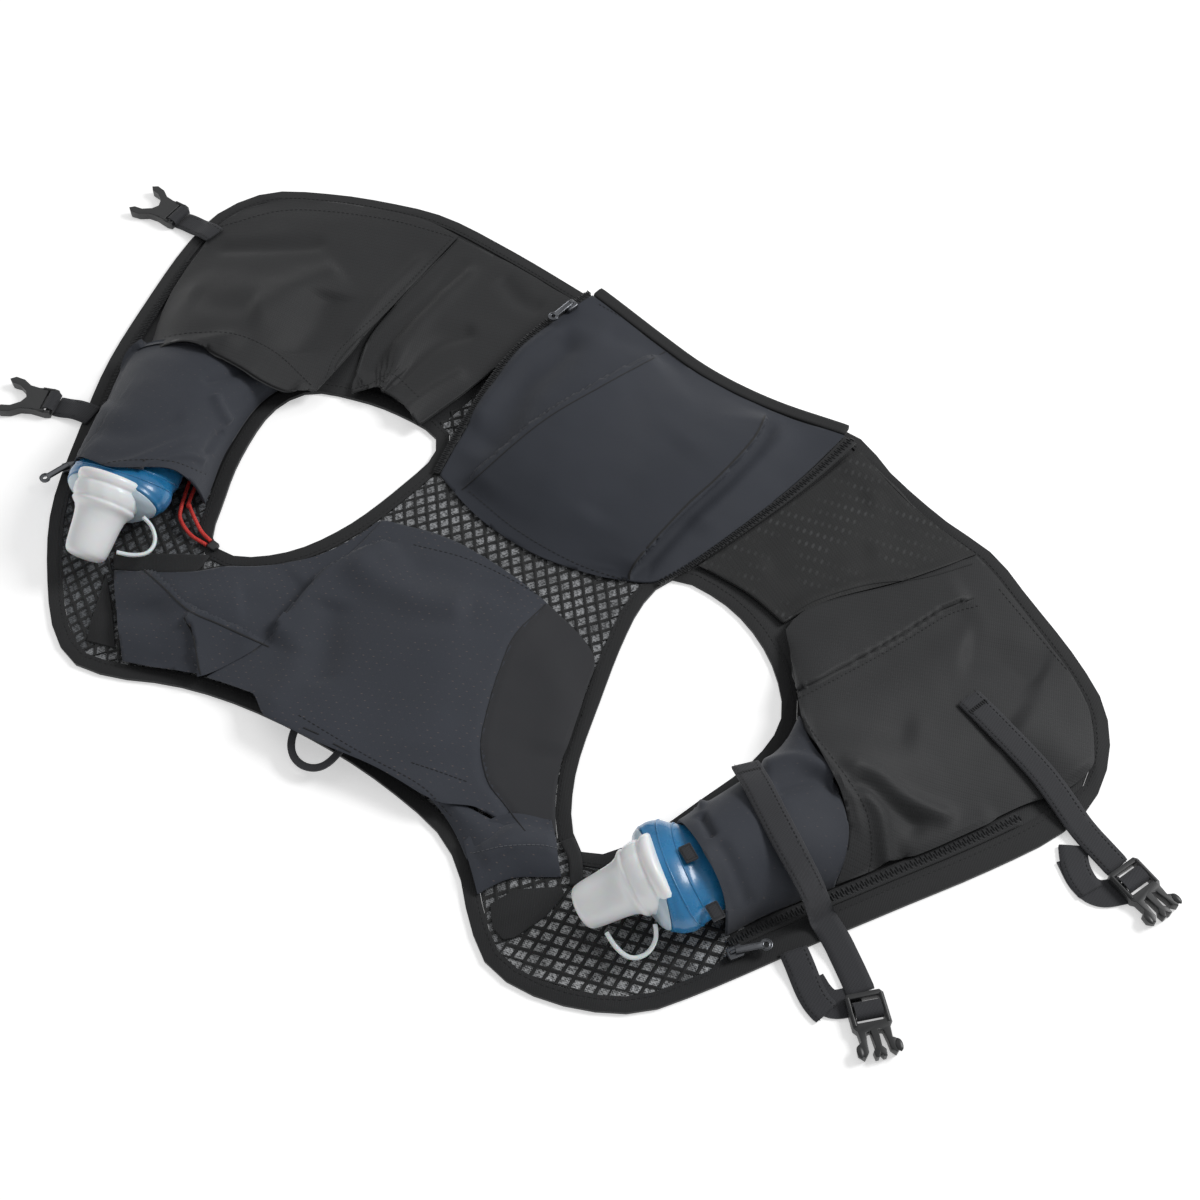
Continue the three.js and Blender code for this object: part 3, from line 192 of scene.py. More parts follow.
class Socket:
    """A shader value that takes part in Python expressions."""

    def __init__(self, graph: "Graph", output: bpy.types.NodeSocket) -> None:
        """Wraps a node's output in its graph."""
        self.graph = graph
        self.output = output

    def calculate(self, operation: str, *values: "Socket | float") -> "Socket":
        """Adds a Math node of the operation on these values."""
        return self.graph.node("ShaderNodeMath", {"operation": operation}, dict(enumerate(values)))

    def __add__(self, other: "Socket | float") -> "Socket":
        """Adds."""
        return self.calculate("ADD", self, other)

    __radd__ = __add__

    def __sub__(self, other: "Socket | float") -> "Socket":
        """Subtracts the other from this."""
        return self.calculate("SUBTRACT", self, other)

    def __rsub__(self, other: "Socket | float") -> "Socket":
        """Subtracts this from the other."""
        return self.calculate("SUBTRACT", other, self)

    def __mul__(self, other: "Socket | float") -> "Socket":
        """Multiplies."""
        return self.calculate("MULTIPLY", self, other)

    __rmul__ = __mul__

    def floor(self) -> "Socket":
        """Rounds down."""
        return self.calculate("FLOOR", self)

    def nearest(self) -> "Socket":
        """Rounds to the nearest whole number."""
        return self.calculate("ROUND", self)

    def wave(self, pitch: float) -> "Socket":
        """Makes a smooth wave from 0 to 1 with that pitch, in the units of this value."""
        return self.calculate("SINE", self * (2 * math.pi / pitch)) * 0.5 + 0.5

    def ramp(self, low: float, high: float) -> "Socket":
        """Maps low to 0 and high to 1, and clamps."""
        ends = {"Value": self, "From Min": low, "From Max": high}
        return self.graph.node("ShaderNodeMapRange", {"clamp": True}, ends, "Result")


class Graph:
    """The nodes of one material, with its shader."""

    def __init__(self, name: str) -> None:
        """Starts a material with a Principled shader.

        Args:
            name: The material's name.
        """
        self.material = bpy.data.materials.new(name)
        self.material.use_nodes = True
        self.tree = self.material.node_tree
        self.shader = self.tree.nodes["Principled BSDF"]
        self.where = self.node("ShaderNodeTexCoord", {}, {}, "Object")

    def node(self, kind: str, settings: dict, inputs: dict, output: str | int = 0) -> Socket:
        """Adds a node.

        Args:
            kind: The node's type.
            settings: Its properties, set first.
            inputs: Values or links of its sockets, by name or number.
            output: Which output to give back.

        Returns:
            The output, ready for expressions.
        """
        made = self.tree.nodes.new(kind)
        for name, value in settings.items():
            setattr(made, name, value)
        for key, value in inputs.items():
            if isinstance(value, Socket):
                self.tree.links.new(value.output, made.inputs[key])
            else:
                made.inputs[key].default_value = value
        return Socket(self, made.outputs[output])

    def place(self) -> tuple[Socket, Socket, Socket]:
        """Gives the surface's own place in millimetres, along X, Y and Z."""
        x, y, z = (self.node("ShaderNodeSeparateXYZ", {}, {0: self.where}, axis) for axis in "XYZ")
        return x * (1 / MM), y * (1 / MM), z * (1 / MM)

    def noise(self, size: float, detail: float = 2.0) -> Socket:
        """Makes noise with features of that size in millimetres."""
        inputs = {"Vector": self.where, "Scale": 1 / (size * MM), "Detail": detail}
        return self.node("ShaderNodeTexNoise", {}, inputs, "Fac")

    def mix(self, share: Socket, low: "Colour | Socket", high: "Colour | Socket") -> Socket:
        """Mixes two colours, all low where the share is 0."""
        inputs = {0: share, 6: opaque(low), 7: opaque(high)}
        return self.node("ShaderNodeMix", {"data_type": "RGBA"}, inputs, 2)

    def feed(self, name: str, value: "Socket | float | Colour") -> None:
        """Feeds a socket of the shader with a link, a number or a colour.

        Args:
            name: The socket's name.
            value: What it gets.
        """
        if isinstance(value, Socket):
            self.tree.links.new(value.output, self.shader.inputs[name])
        else:
            self.shader.inputs[name].default_value = opaque(value)

    def bump(self, height: Socket, depth: float, strength: float = 1.0) -> None:
        """Raises the surface by a height from 0 to 1 times the depth in millimetres."""
        inputs = {"Height": height, "Distance": depth * MM, "Strength": strength}
        self.feed("Normal", self.node("ShaderNodeBump", {}, inputs, "Normal"))


def opaque(value: "Socket | float | Colour") -> "Socket | float | tuple[float, ...]":
    """Adds the alpha that a colour socket expects, and leaves anything else."""
    return (*value, 1.0) if isinstance(value, tuple) else value


def srgb(code: int) -> Colour:
    """Turns a screen colour such as 0x34373f into linear values.

    Args:
        code: Its six hex digits as one number.

    Returns:
        Its linear red, green and blue.
    """
    parts = [((code >> shift) & 255) / 255 for shift in (16, 8, 0)]
    red, green, blue = (p / 12.92 if p <= 0.04045 else ((p + 0.055) / 1.055) ** 2.4 for p in parts)
    return red, green, blue


def shade(colour: Colour, factor: float) -> Colour:
    """Makes a colour lighter or darker."""
    red, green, blue = (min(1.0, part * factor) for part in colour)
    return red, green, blue


class Finish(Protocol):
    """A surface that can make its material."""

    name: str
    slot: str

    def build(self) -> bpy.types.Material:
        """Makes the material.

        Returns:
            The material.
        """


@dataclass(frozen=True)
class WovenCloth:
    """Navy stretch-woven cloth with a fine twill and, where dotted, rows of tiny pale stitches."""

    name: str
    slot: str = "navy_cloth"
    colour: Colour = srgb(0x2F333C)
    fleck: Colour = srgb(0x8F7A6E)
    dots: float = 0.0
    pitch: Pair = (6.2, 4.4)
    turn: float = 0.5

    def build(self) -> bpy.types.Material:
        """Makes the material.

        Returns:
            The material.
        """
        graph = Graph(self.name)
        x, y, _ = graph.place()
        cloud = graph.noise(46.0, 3.0)
        grain = graph.noise(0.55, 1.0)
        colour = graph.mix(cloud * 0.6 + grain * 0.4, shade(self.colour, 0.76), shade(self.colour, 1.22))
        height = (x + y).wave(0.62) * 0.6 + (x - y * 0.5).wave(0.48) * 0.4 + grain * 0.5
        height = height + graph.noise(15.0, 3.0) * 4.0
        if self.dots:
            dot = self.dot_rows(graph, x, y)
            colour = graph.mix(dot * self.dots, colour, self.fleck)
            height = height - dot
        graph.feed("Base Color", colour)
        graph.feed("Roughness", 0.72 + cloud * 0.1)
        graph.feed("Sheen Weight", 0.1)
        graph.bump(height, 0.08, 0.6)
        return graph.material

    def dot_rows(self, graph: Graph, x: Socket, y: Socket) -> Socket:
        """Marks the tiny stitches, 1 in the middle of each.

        Args:
            graph: The material's graph.
            x: The place along X in millimetres.
            y: The place along Y in millimetres.

        Returns:
            The mark, from 0 to 1.
        """
        cos, sin = math.cos(self.turn), math.sin(self.turn)
        across, along = self.pitch
        u = (x * cos + y * sin) * (1 / across)
        v = (y * cos - x * sin) * (1 / along)
        row = v.floor()
        shifted = u + row * 0.5
        du = (shifted - shifted.nearest()) * across
        dv = (v - row - 0.5) * along
        near = 1 - (du * du * 0.5 + dv * dv * 2.6).ramp(0.04, 0.3)
        return near * graph.noise(13.0).ramp(0.38, 0.6)


@dataclass(frozen=True)
class StretchMesh:
    """Black stretch mesh with a close grid of fine holes, with a paler lattice behind where sheer."""

    name: str
    slot: str = "stretch_mesh"
    colour: Colour = srgb(0x2B2C2E)
    hole: Colour = srgb(0x131415)
    pitch: float = 1.3
    turn: float = 0.5
    ghost: float = 0.0
    behind: Colour = srgb(0x77797B)

    def build(self) -> bpy.types.Material:
        """Makes the material.

        Returns:
            The material.
        """
        graph = Graph(self.name)
        x, y, _ = graph.place()
        cos, sin = math.cos(self.turn), math.sin(self.turn)
        across = x * cos + y * sin
        along = y * cos - x * sin
        cell = across.wave(self.pitch) * along.wave(self.pitch * 1.15)
        rib = along.wave(self.pitch * 2.3)
        cloud = graph.noise(30.0, 3.0)
        thread = graph.noise(0.5, 1.0)
        share = cloud * 0.45 + thread * 0.3 + rib * 0.25
        tone = graph.mix(share, shade(self.colour, 0.68), shade(self.colour, 1.4))
        colour = graph.mix(cell.ramp(0.45, 0.85) * 0.6, tone, self.hole)
        if self.ghost:
            lattice = (x + y * 0.3).wave(4.6) * (y - x * 0.3).wave(9.5)
            patch = lattice.ramp(0.45, 0.9) * graph.noise(24.0, 3.0).ramp(0.42, 0.64)
            colour = graph.mix(patch * self.ghost, colour, self.behind)
        graph.feed("Base Color", colour)
        graph.feed("Roughness", 0.64 + cloud * 0.12)
        graph.feed("Sheen Weight", 0.08)
        graph.bump(1 - cell, 0.1, 0.6)
        return graph.material


@dataclass(frozen=True)
class WindowNet:
    """Fine net behind the diamond lattice, through which the pale floor shows, as a painted colour in painted
    shade with patches of painted shadow.
    """

    name: str
    slot: str = "diamond_mesh"
    thread: Colour = srgb(0x1E1F20)
    # The floor seen through the windows, painted with the shade on it: painted shade.
    floor_in_painted_shade: Colour = srgb(0xB9BBBD)

    def build(self) -> bpy.types.Material:
        """Makes the material.

        Returns:
            The material.
        """
        graph = Graph(self.name)
        x, y, _ = graph.place()
        weave = (x + y * 0.35).wave(0.85) * 0.6 + (y - x * 0.35).wave(1.2) * 0.4
        speck = graph.noise(1.6, 2.0).ramp(0.34, 0.66)
        # Patches where the floor in the windows is darker: painted shadow.
        shadow = graph.noise(26.0, 2.0).ramp(0.3, 0.56)
        clear = (weave * 0.55 + speck * 0.45).ramp(0.3, 0.62) * (0.35 + shadow * 0.65)
        # The windows get the painted colour of the floor in shade, darkened further in the shadow patches.
        graph.feed("Base Color", graph.mix(clear, self.thread, self.floor_in_painted_shade))
        graph.feed("Roughness", 0.8)
        graph.bump(weave, 0.2, 0.7)
        return graph.material


@dataclass(frozen=True)
class Tape:
    """Narrow woven tape with a ribbed face."""

    name: str
    slot: str = "trim"
    colour: Colour = srgb(0x1F2021)
    rib: float = 0.9
    turn: float = 0.8

    def build(self) -> bpy.types.Material:
        """Makes the material.

        Returns:
            The material.
        """
        graph = Graph(self.name)
        x, y, _ = graph.place()
        cos, sin = math.cos(self.turn), math.sin(self.turn)
        ribs = (x * cos + y * sin).wave(self.rib) * 0.7 + (y * cos - x * sin).wave(self.rib * 0.7) * 0.3
        cloud = graph.noise(18.0, 3.0)
        fuzz = graph.noise(0.5, 2.0)
        share = cloud * 0.4 + fuzz * 0.35 + ribs * 0.25
        graph.feed("Base Color", graph.mix(share, shade(self.colour, 0.6), shade(self.colour, 1.45)))
        graph.feed("Roughness", 0.7 + fuzz * 0.15)
        graph.feed("Sheen Weight", 0.12)
        graph.bump(ribs + fuzz, 0.12, 0.7)
        return graph.material


@dataclass(frozen=True)
class Moulded:
    """Moulded plastic or coated metal with a fine grain and slight wear."""

    name: str
    slot: str
    colour: Colour
    roughness: float = 0.38
    metallic: float = 0.0

    def build(self) -> bpy.types.Material:
        """Makes the material.

        Returns:
            The material.
        """
        graph = Graph(self.name)
        wear = graph.noise(9.0, 4.0)
        grain = graph.noise(0.6, 2.0)
        graph.feed("Base Color", graph.mix(wear, shade(self.colour, 0.8), shade(self.colour, 1.3)))
        graph.feed("Roughness", self.roughness - 0.08 + wear * 0.16)
        graph.feed("Metallic", self.metallic)
        graph.bump(grain, 0.03, 0.5)
        return graph.material


@dataclass(frozen=True)
class SoftFilm:
    """Glossy soft plastic, a little cloudy, with fine creases."""

    name: str
    slot: str
    colour: Colour
    cloudy: float
    roughness: float = 0.22

    def build(self) -> bpy.types.Material:
        """Makes the material.

        Returns:
            The material.
        """
        graph = Graph(self.name)
        cloud = graph.noise(20.0, 3.0)
        crease = graph.noise(5.0, 3.0)
        low, high = shade(self.colour, 1 - self.cloudy), shade(self.colour, 1 + self.cloudy)
        graph.feed("Base Color", graph.mix(cloud, low, high))
        graph.feed("Roughness", self.roughness + crease * 0.12)
        graph.feed("Subsurface Weight", 0.3)
        graph.feed("Subsurface Scale", 0.006)
        graph.feed("Coat Weight", 0.25)
        graph.bump(crease, 0.3, 0.3)
        return graph.material


@dataclass(frozen=True)
class Braid:
    """Braided elastic lace, with painted shade in the hollows between its strands."""

    name: str
    slot: str
    colour: Colour

    def build(self) -> bpy.types.Material:
        """Makes the material.

        Returns:
            The material.
        """
        graph = Graph(self.name)
        x, y, z = graph.place()
        strands_with_hollow_shade = (x + z * 2).wave(1.1) * (y - z * 2).wave(1.3)
        # Darker where the strands dip: painted shade in the hollows.
        graph.feed("Base Color", graph.mix(strands_with_hollow_shade, shade(self.colour, 0.62), shade(self.colour, 1.1)))
        graph.feed("Roughness", 0.58 + graph.noise(1.0) * 0.1)
        graph.bump(strands_with_hollow_shade, 0.15, 0.8)
        return graph.material


NAVY = WovenCloth("navy_cloth", colour=srgb(0x2A2E37))
CHARCOAL = WovenCloth("charcoal_cloth", colour=srgb(0x25262A))
DOTTED = WovenCloth("dotted_cloth", dots=0.3)
SLEEVE_CLOTH = WovenCloth("sleeve_cloth", dots=0.14, colour=srgb(0x2A2E37), pitch=(7.4, 5.0), turn=0.9)
POWER_MESH = StretchMesh("power_mesh", colour=srgb(0x1E1F21))
SHEER_MESH = StretchMesh("sheer_mesh", colour=srgb(0x141516), pitch=1.7, turn=-0.35, ghost=0.16)
# Three copies of one net, each with its floor painted lighter or darker as light falls on its panel: painted
# light and shade. The left shoulder's is the darkest and the right shoulder's the lightest.
NET = WindowNet("window_net", floor_in_painted_shade=srgb(0xA3A5A8))
LEFT_NET_IN_PAINTED_SHADE = WindowNet("left_window_net_painted_shade", floor_in_painted_shade=srgb(0x75787C))
RIGHT_NET_IN_PAINTED_LIGHT = WindowNet("right_window_net_painted_light")
BINDING = Tape("edge_binding", colour=srgb(0x17181A))
WEBBING = Tape("webbing", colour=srgb(0x292A2E), rib=1.5, turn=0.1)
ZIP_TAPE = Tape("zip_tape", colour=srgb(0x1E1F21), rib=0.8, turn=1.2)
LATTICE_RIB = Tape("lattice_rib", slot="diamond_mesh", colour=srgb(0x161718), rib=0.7)
# Dark thread of the stitches. The seam lines of painted shade use it too.
THREAD_AND_SEAM_SHADE = Tape("thread", colour=srgb(0x17181A), rib=0.5)
PALE_THREAD = Tape("pale_thread", colour=srgb(0x54565B), rib=0.5)
PLASTIC = Moulded("black_plastic", "black_plastic", srgb(0x2B2C2D))
ZIP_METAL = Moulded("zip_metal", "zip_metal", srgb(0x6A6C70), 0.3, 0.85)
ZIP_COIL = Moulded("zip_coil", "trim", srgb(0x242527), 0.42)
BLUE_FILM = SoftFilm("blue_film", "blue_film", srgb(0x2876A8), 0.3)
MILKY = SoftFilm("milky_plastic", "clear_plastic", srgb(0xF2F5F7), 0.05, 0.3)
FROSTED = SoftFilm("frosted_plastic", "clear_plastic", srgb(0xC3D3DE), 0.08, 0.3)
LACE = Braid("red_lace", "red_cord", srgb(0xF0443C))


# Mesh tools


def make_piece(name: str, mesh: Mesh) -> bpy.types.Object:
    """Makes a mesh object of points in metres and faces.

    Args:
        name: The piece's name.
        mesh: Its points and faces.

    Returns:
        The new object.
    """
    data = bpy.data.meshes.new(name)
    data.from_pydata(mesh[0].tolist(), [], mesh[1])
    data.validate()
    return link(bpy.data.objects.new(name, data))


def joined(meshes: Sequence[Mesh]) -> Mesh:
    """Puts meshes together as one.

    Args:
        meshes: The meshes.

    Returns:
        The one mesh.
    """
    points, faces, count = [], [], 0
    for more_points, more_faces in meshes:
        points.append(more_points)
        faces += [[corner + count for corner in face] for face in more_faces]
        count += len(more_points)
    return np.vstack(points), faces


def smooth_line(points: Sequence[Sequence[float]], step: float) -> np.ndarray:
    """Runs a spline through points and samples it evenly.

    Args:
        points: The points that it passes.
        step: The distance between samples, in the units of the points.

    Returns:
        An array of samples.
    """
    knots = np.array(points, float)
    ends = np.vstack([2 * knots[0] - knots[1], knots, 2 * knots[-1] - knots[-2]])
    fine = []
    for a, b, c, d in zip(ends, ends[1:], ends[2:], ends[3:]):
        for t in np.linspace(0, 1, 12, endpoint=False):
            bend = (2 * a - 5 * b + 4 * c - d) * t**2 + (3 * b - a - 3 * c + d) * t**3
            fine.append(0.5 * (2 * b + (c - a) * t + bend))
    fine.append(knots[-1])
    return resampled(np.array(fine), step)


def resampled(line: np.ndarray, step: float) -> np.ndarray:
    """Samples a line evenly, with about that step.

    Args:
        line: The line's points.
        step: The distance between samples, in the units of the points.

    Returns:
        The samples, from end to end.
    """
    run = np.concatenate([[0], np.cumsum(np.linalg.norm(np.diff(line, axis=0), axis=1))])
    at = np.linspace(0, run[-1], max(2, int(round(run[-1] / step)) + 1))
    return np.stack([np.interp(at, run, line[:, k]) for k in range(line.shape[1])], axis=1)


def swept(line: np.ndarray, half_width: float, half_height: float, sides: int = 6,
          closed: bool = False) -> Mesh:
    """Sweeps an oval section along a line, level where the line is level.

    Args:
        line: The middle line in metres.
        half_width: Half the section's width in metres.
        half_height: Half its height in metres.
        sides: How many sides it has.
        closed: Whether the line ends where it starts.

    Returns:
        The mesh, with its ends closed.
    """
    ahead = np.roll(line, -1, axis=0) - np.roll(line, 1, axis=0)
    if not closed:
        ahead[0], ahead[-1] = line[1] - line[0], line[-1] - line[-2]
    points, faces = [], []
    for centre, way in zip(line, ahead):
        way = unit(way)
        aside = unit(np.cross(way, (0.0, 0.0, 1.0)) + np.array((1e-9, 0, 0)))
        above = np.cross(aside, way)
        for i in range(sides):
            angle = 2 * math.pi * (i + 0.5) / sides
            points.append(centre + aside * half_width * math.cos(angle)
                          + above * half_height * math.sin(angle))
    rings = len(line)
    for ring in range(rings if closed else rings - 1):
        here, there = ring * sides, (ring + 1) % rings * sides
        for i in range(sides):
            j = (i + 1) % sides
            faces.append([here + i, here + j, there + j, there + i])
    if not closed:
        faces.append(list(range(sides))[::-1])
        faces.append([(rings - 1) * sides + i for i in range(sides)])
    return np.array(points), faces


def stitch(at: np.ndarray, way: np.ndarray, length: float, width: float) -> Mesh:
    """Makes one stitch as a small bead of thread, in metres.

    Args:
        at: Its middle.
        way: The direction in which it lies.
        length: Its length.
        width: Its width.

    Returns:
        Its mesh.
    """
    straight, tip, sides = 0.7, 0.4, 4
    half = unit(way) * length / 2
    line = np.array([at - half, at - half * straight, at + half * straight, at + half])
    points, faces = swept(line, width / 2, width / 2, sides)
    for ring in (0, 3):
        end = slice(ring * sides, (ring + 1) * sides)
        points[end] = line[ring] + (points[end] - line[ring]) * tip
    return points, faces


def slab(points: np.ndarray, rows: int, thick: float) -> Mesh:
    """Closes a grid of points, row by row, into a sheet of that thickness below it.

    Args:
        points: The grid's points in metres.
        rows: How many rows it has.
        thick: The thickness in metres.

    Returns:
        The closed mesh.
    """
    count = len(points)
    wide = count // rows
    faces = []
    for r in range(rows - 1):
        for c in range(wide - 1):
            a = r * wide + c
            faces.append([a, a + 1, a + wide + 1, a + wide])
            faces.append([count + a, count + a + wide, count + a + wide + 1, count + a + 1])
    rim = [*range(wide), *(r * wide + wide - 1 for r in range(1, rows)),
           *range(count - 2, count - wide - 1, -1), *(r * wide for r in range(rows - 2, 0, -1))]
    for a, b in zip(rim, rim[1:] + rim[:1]):
        faces.append([b, a, count + a, count + b])
    return np.vstack([points, points - np.array((0, 0, thick))]), faces


def points_of(piece: bpy.types.Object) -> tuple[np.ndarray, np.ndarray]:
    """Reads a mesh's points and normals.

    Args:
        piece: The mesh object.

    Returns:
        The points in metres and their normals.
    """
    count = len(piece.data.vertices)
    points, normals = np.empty(count * 3), np.empty(count * 3)
    piece.data.vertices.foreach_get("co", points)
    piece.data.vertices.foreach_get("normal", normals)
    return points.reshape(-1, 3), normals.reshape(-1, 3)


def put_points(piece: bpy.types.Object, points: np.ndarray) -> None:
    """Writes a mesh's points."""
    piece.data.vertices.foreach_set("co", points.ravel())
    piece.data.update()


def with_modifiers_applied(piece: bpy.types.Object) -> bpy.types.Object:
    """Turns an object's modifiers into mesh.

    Args:
        piece: The object.

    Returns:
        The same object.
    """
    evaluated = piece.evaluated_get(bpy.context.evaluated_depsgraph_get())
    mesh = bpy.data.meshes.new_from_object(evaluated)
    piece.modifiers.clear()
    piece.data = mesh
    return piece


def node_copy(node: str, name: str, quads: bool) -> tuple[bpy.types.Object, bmesh.types.BMesh]:
    """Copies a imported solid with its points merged, and opens the copy for editing.

    Args:
        node: The solid's node.
        name: The new piece's name.
        quads: Whether its triangles are joined into four-sided faces.

    Returns:
        The new object, still empty, and the mesh being edited.
    """
    work = bmesh.new()
    work.from_mesh(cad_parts[node].data)
    bmesh.ops.remove_doubles(work, verts=work.verts, dist=2e-6)
    if quads:
        limits = {"angle_face_threshold": 0.7, "angle_shape_threshold": 1.5}
        bmesh.ops.join_triangles(work, faces=work.faces, **limits)
    mesh = bpy.data.meshes.new(name)
    return link(bpy.data.objects.new(name, mesh)), work


def fine_copy(node: str, name: str, levels: int, sharp: float = 1.0) -> bpy.types.Object:
    """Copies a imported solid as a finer, rounder mesh.

    Args:
        node: The solid's node.
        name: The new piece's name.
        levels: How many times it is subdivided.
        sharp: How sharp its edges stay, from 0 to 1.

    Returns:
        The new object.
    """
    made, work = node_copy(node, name, True)
    crease = work.edges.layers.float.new("crease_edge")
    for edge in work.edges:
        if len(edge.link_faces) == 2 and edge.calc_face_angle(0.0) > math.radians(55):
            edge[crease] = sharp
    work.to_mesh(made.data)
    work.free()
    rounding = made.modifiers.new("rounding", "SUBSURF")
    rounding.levels = rounding.render_levels = levels
    return with_modifiers_applied(made)


def bevelled_copy(node: str, name: str, width: float, segments: int = 2) -> bpy.types.Object:
    """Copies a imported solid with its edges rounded.

    Args:
        node: The solid's node.
        name: The new piece's name.
        width: How far from the edge the rounding starts, in millimetres.
        segments: How many faces it has.

    Returns:
        The new object.
    """
    made, work = node_copy(node, name, False)
    work.to_mesh(made.data)
    work.free()
    rounding = made.modifiers.new("rounding", "BEVEL")
    rounding.width = width * MM
    rounding.segments = segments
    rounding.limit_method = "ANGLE"
    rounding.angle_limit = math.radians(50)
    return with_modifiers_applied(made)


def top_rims(node: str) -> list[np.ndarray]:
    """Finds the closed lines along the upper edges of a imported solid, the longest first.

    Args:
        node: The solid's node.

    Returns:
        The lines' points in metres.
    """
    made, work = node_copy(node, "rim", False)
    work.normal_update()
    following: dict[int, list[int]] = {}
    for edge in work.edges:
        if len(edge.link_faces) != 2:
            continue
        low, high = sorted(face.normal.z for face in edge.link_faces)
        if high > 0.55 and low < 0.45 and abs(low) < 0.6:
            a, b = (v.index for v in edge.verts)
            following.setdefault(a, []).append(b)
            following.setdefault(b, []).append(a)
    points = np.array([v.co[:] for v in work.verts])
    work.free()
    bpy.data.objects.remove(made)
    rims, used = [], set()
    for first in following:
        if first in used:
            continue
        chain, at = [first], first
        used.add(first)
        while True:
            ahead = [n for n in following[at] if n not in used]
            if not ahead:
                break
            at = ahead[0]
            used.add(at)
            chain.append(at)
        rims.append(points[chain])
    return sorted(rims, key=lambda rim: -float(np.ptp(rim, axis=0).max()))


def strip_sides(node: str) -> tuple[np.ndarray, np.ndarray]:
    """Splits the upper rim of a tape into its two long sides, which run the same way.

    Args:
        node: The tape's node.

    Returns:
        The two sides.
    """
    rim = top_rims(node)[0]
    half = len(rim) // 2
    best, sides = math.inf, (rim, rim)
    for start in range(len(rim)):
        turned = np.roll(rim, -start, axis=0)
        left, right = turned[:half], turned[half:half * 2][::-1]
        gap = float(np.linalg.norm(left - right, axis=1).sum())
        if gap < best:
            best, sides = gap, (left, right)
    return sides


# The workshop


class FoldKind(Enum):
    """How the cloth is bent along a line."""

    RIDGE = "ridge"
    VALLEY = "valley"
    PLEAT = "pleat"


@dataclass(frozen=True)
class Fold:
    """A fold along a line of the photograph, as wide and as high as given in millimetres.

    A pleat stands on the left of its line's direction, leans over by lean and drops sharply on the right.
    """

    path: Line
    width: float
    rise: float
    kind: FoldKind = FoldKind.RIDGE
    lean: float = 0.0
    fade: float = 0.15

    def move(self, seen: np.ndarray) -> tuple[np.ndarray, np.ndarray]:
        """Works out how the fold moves the cloth.

        Args:
            seen: Places on the floor, as the eye sees the cloth there.

        Returns:
            The rise and the sideways shift at each place, in millimetres.
        """
        line = smooth_line(EYE.floor(self.path), 3.0)
        ways = np.diff(line, axis=0)
        lengths = np.linalg.norm(ways, axis=1)
        best = np.full(len(seen), 1e9)
        side, along = np.zeros(len(seen)), np.zeros(len(seen))
        right = np.zeros((len(seen), 2))
        run = 0.0
        for start, way, length in zip(line, ways, lengths):
            t = np.clip(((seen - start) @ way) / length**2, 0, 1)
            away = seen - (start + t[:, None] * way)
            far = np.linalg.norm(away, axis=1)
            nearer = far < best
            best = np.where(nearer, far, best)
            side = np.where(nearer, np.sign(way[0] * away[:, 1] - way[1] * away[:, 0]), side)
            along = np.where(nearer, (run + t * length) / lengths.sum(), along)
            right[nearer] = np.array((way[1], -way[0])) / length
            run += length
        ends = np.clip(np.minimum(along, 1 - along) / self.fade, 0, 1)
        ends = ends * ends * (3 - 2 * ends)
        if self.kind is FoldKind.PLEAT:
            stands = np.clip(1 - best / self.width, 0, 1) ** 1.6
            shape = np.where(side >= 0, stands, 0) * ends
        else:
            shape = np.exp(-((best / self.width) ** 2) * 2) * ends
        rise = self.rise * (-shape if self.kind is FoldKind.VALLEY else shape)
        return rise, right * (self.lean * shape)[:, None]


def ripple(points: np.ndarray, size: float, seed: float) -> np.ndarray:
    """Makes soft unevenness with features of that size in millimetres, from about -1 to 1."""
    scale, shift = 1 / (size * MM), Vector((seed, seed * 1.7, 0.3))
    return np.array([noise.noise(Vector(p) * scale + shift) for p in points])


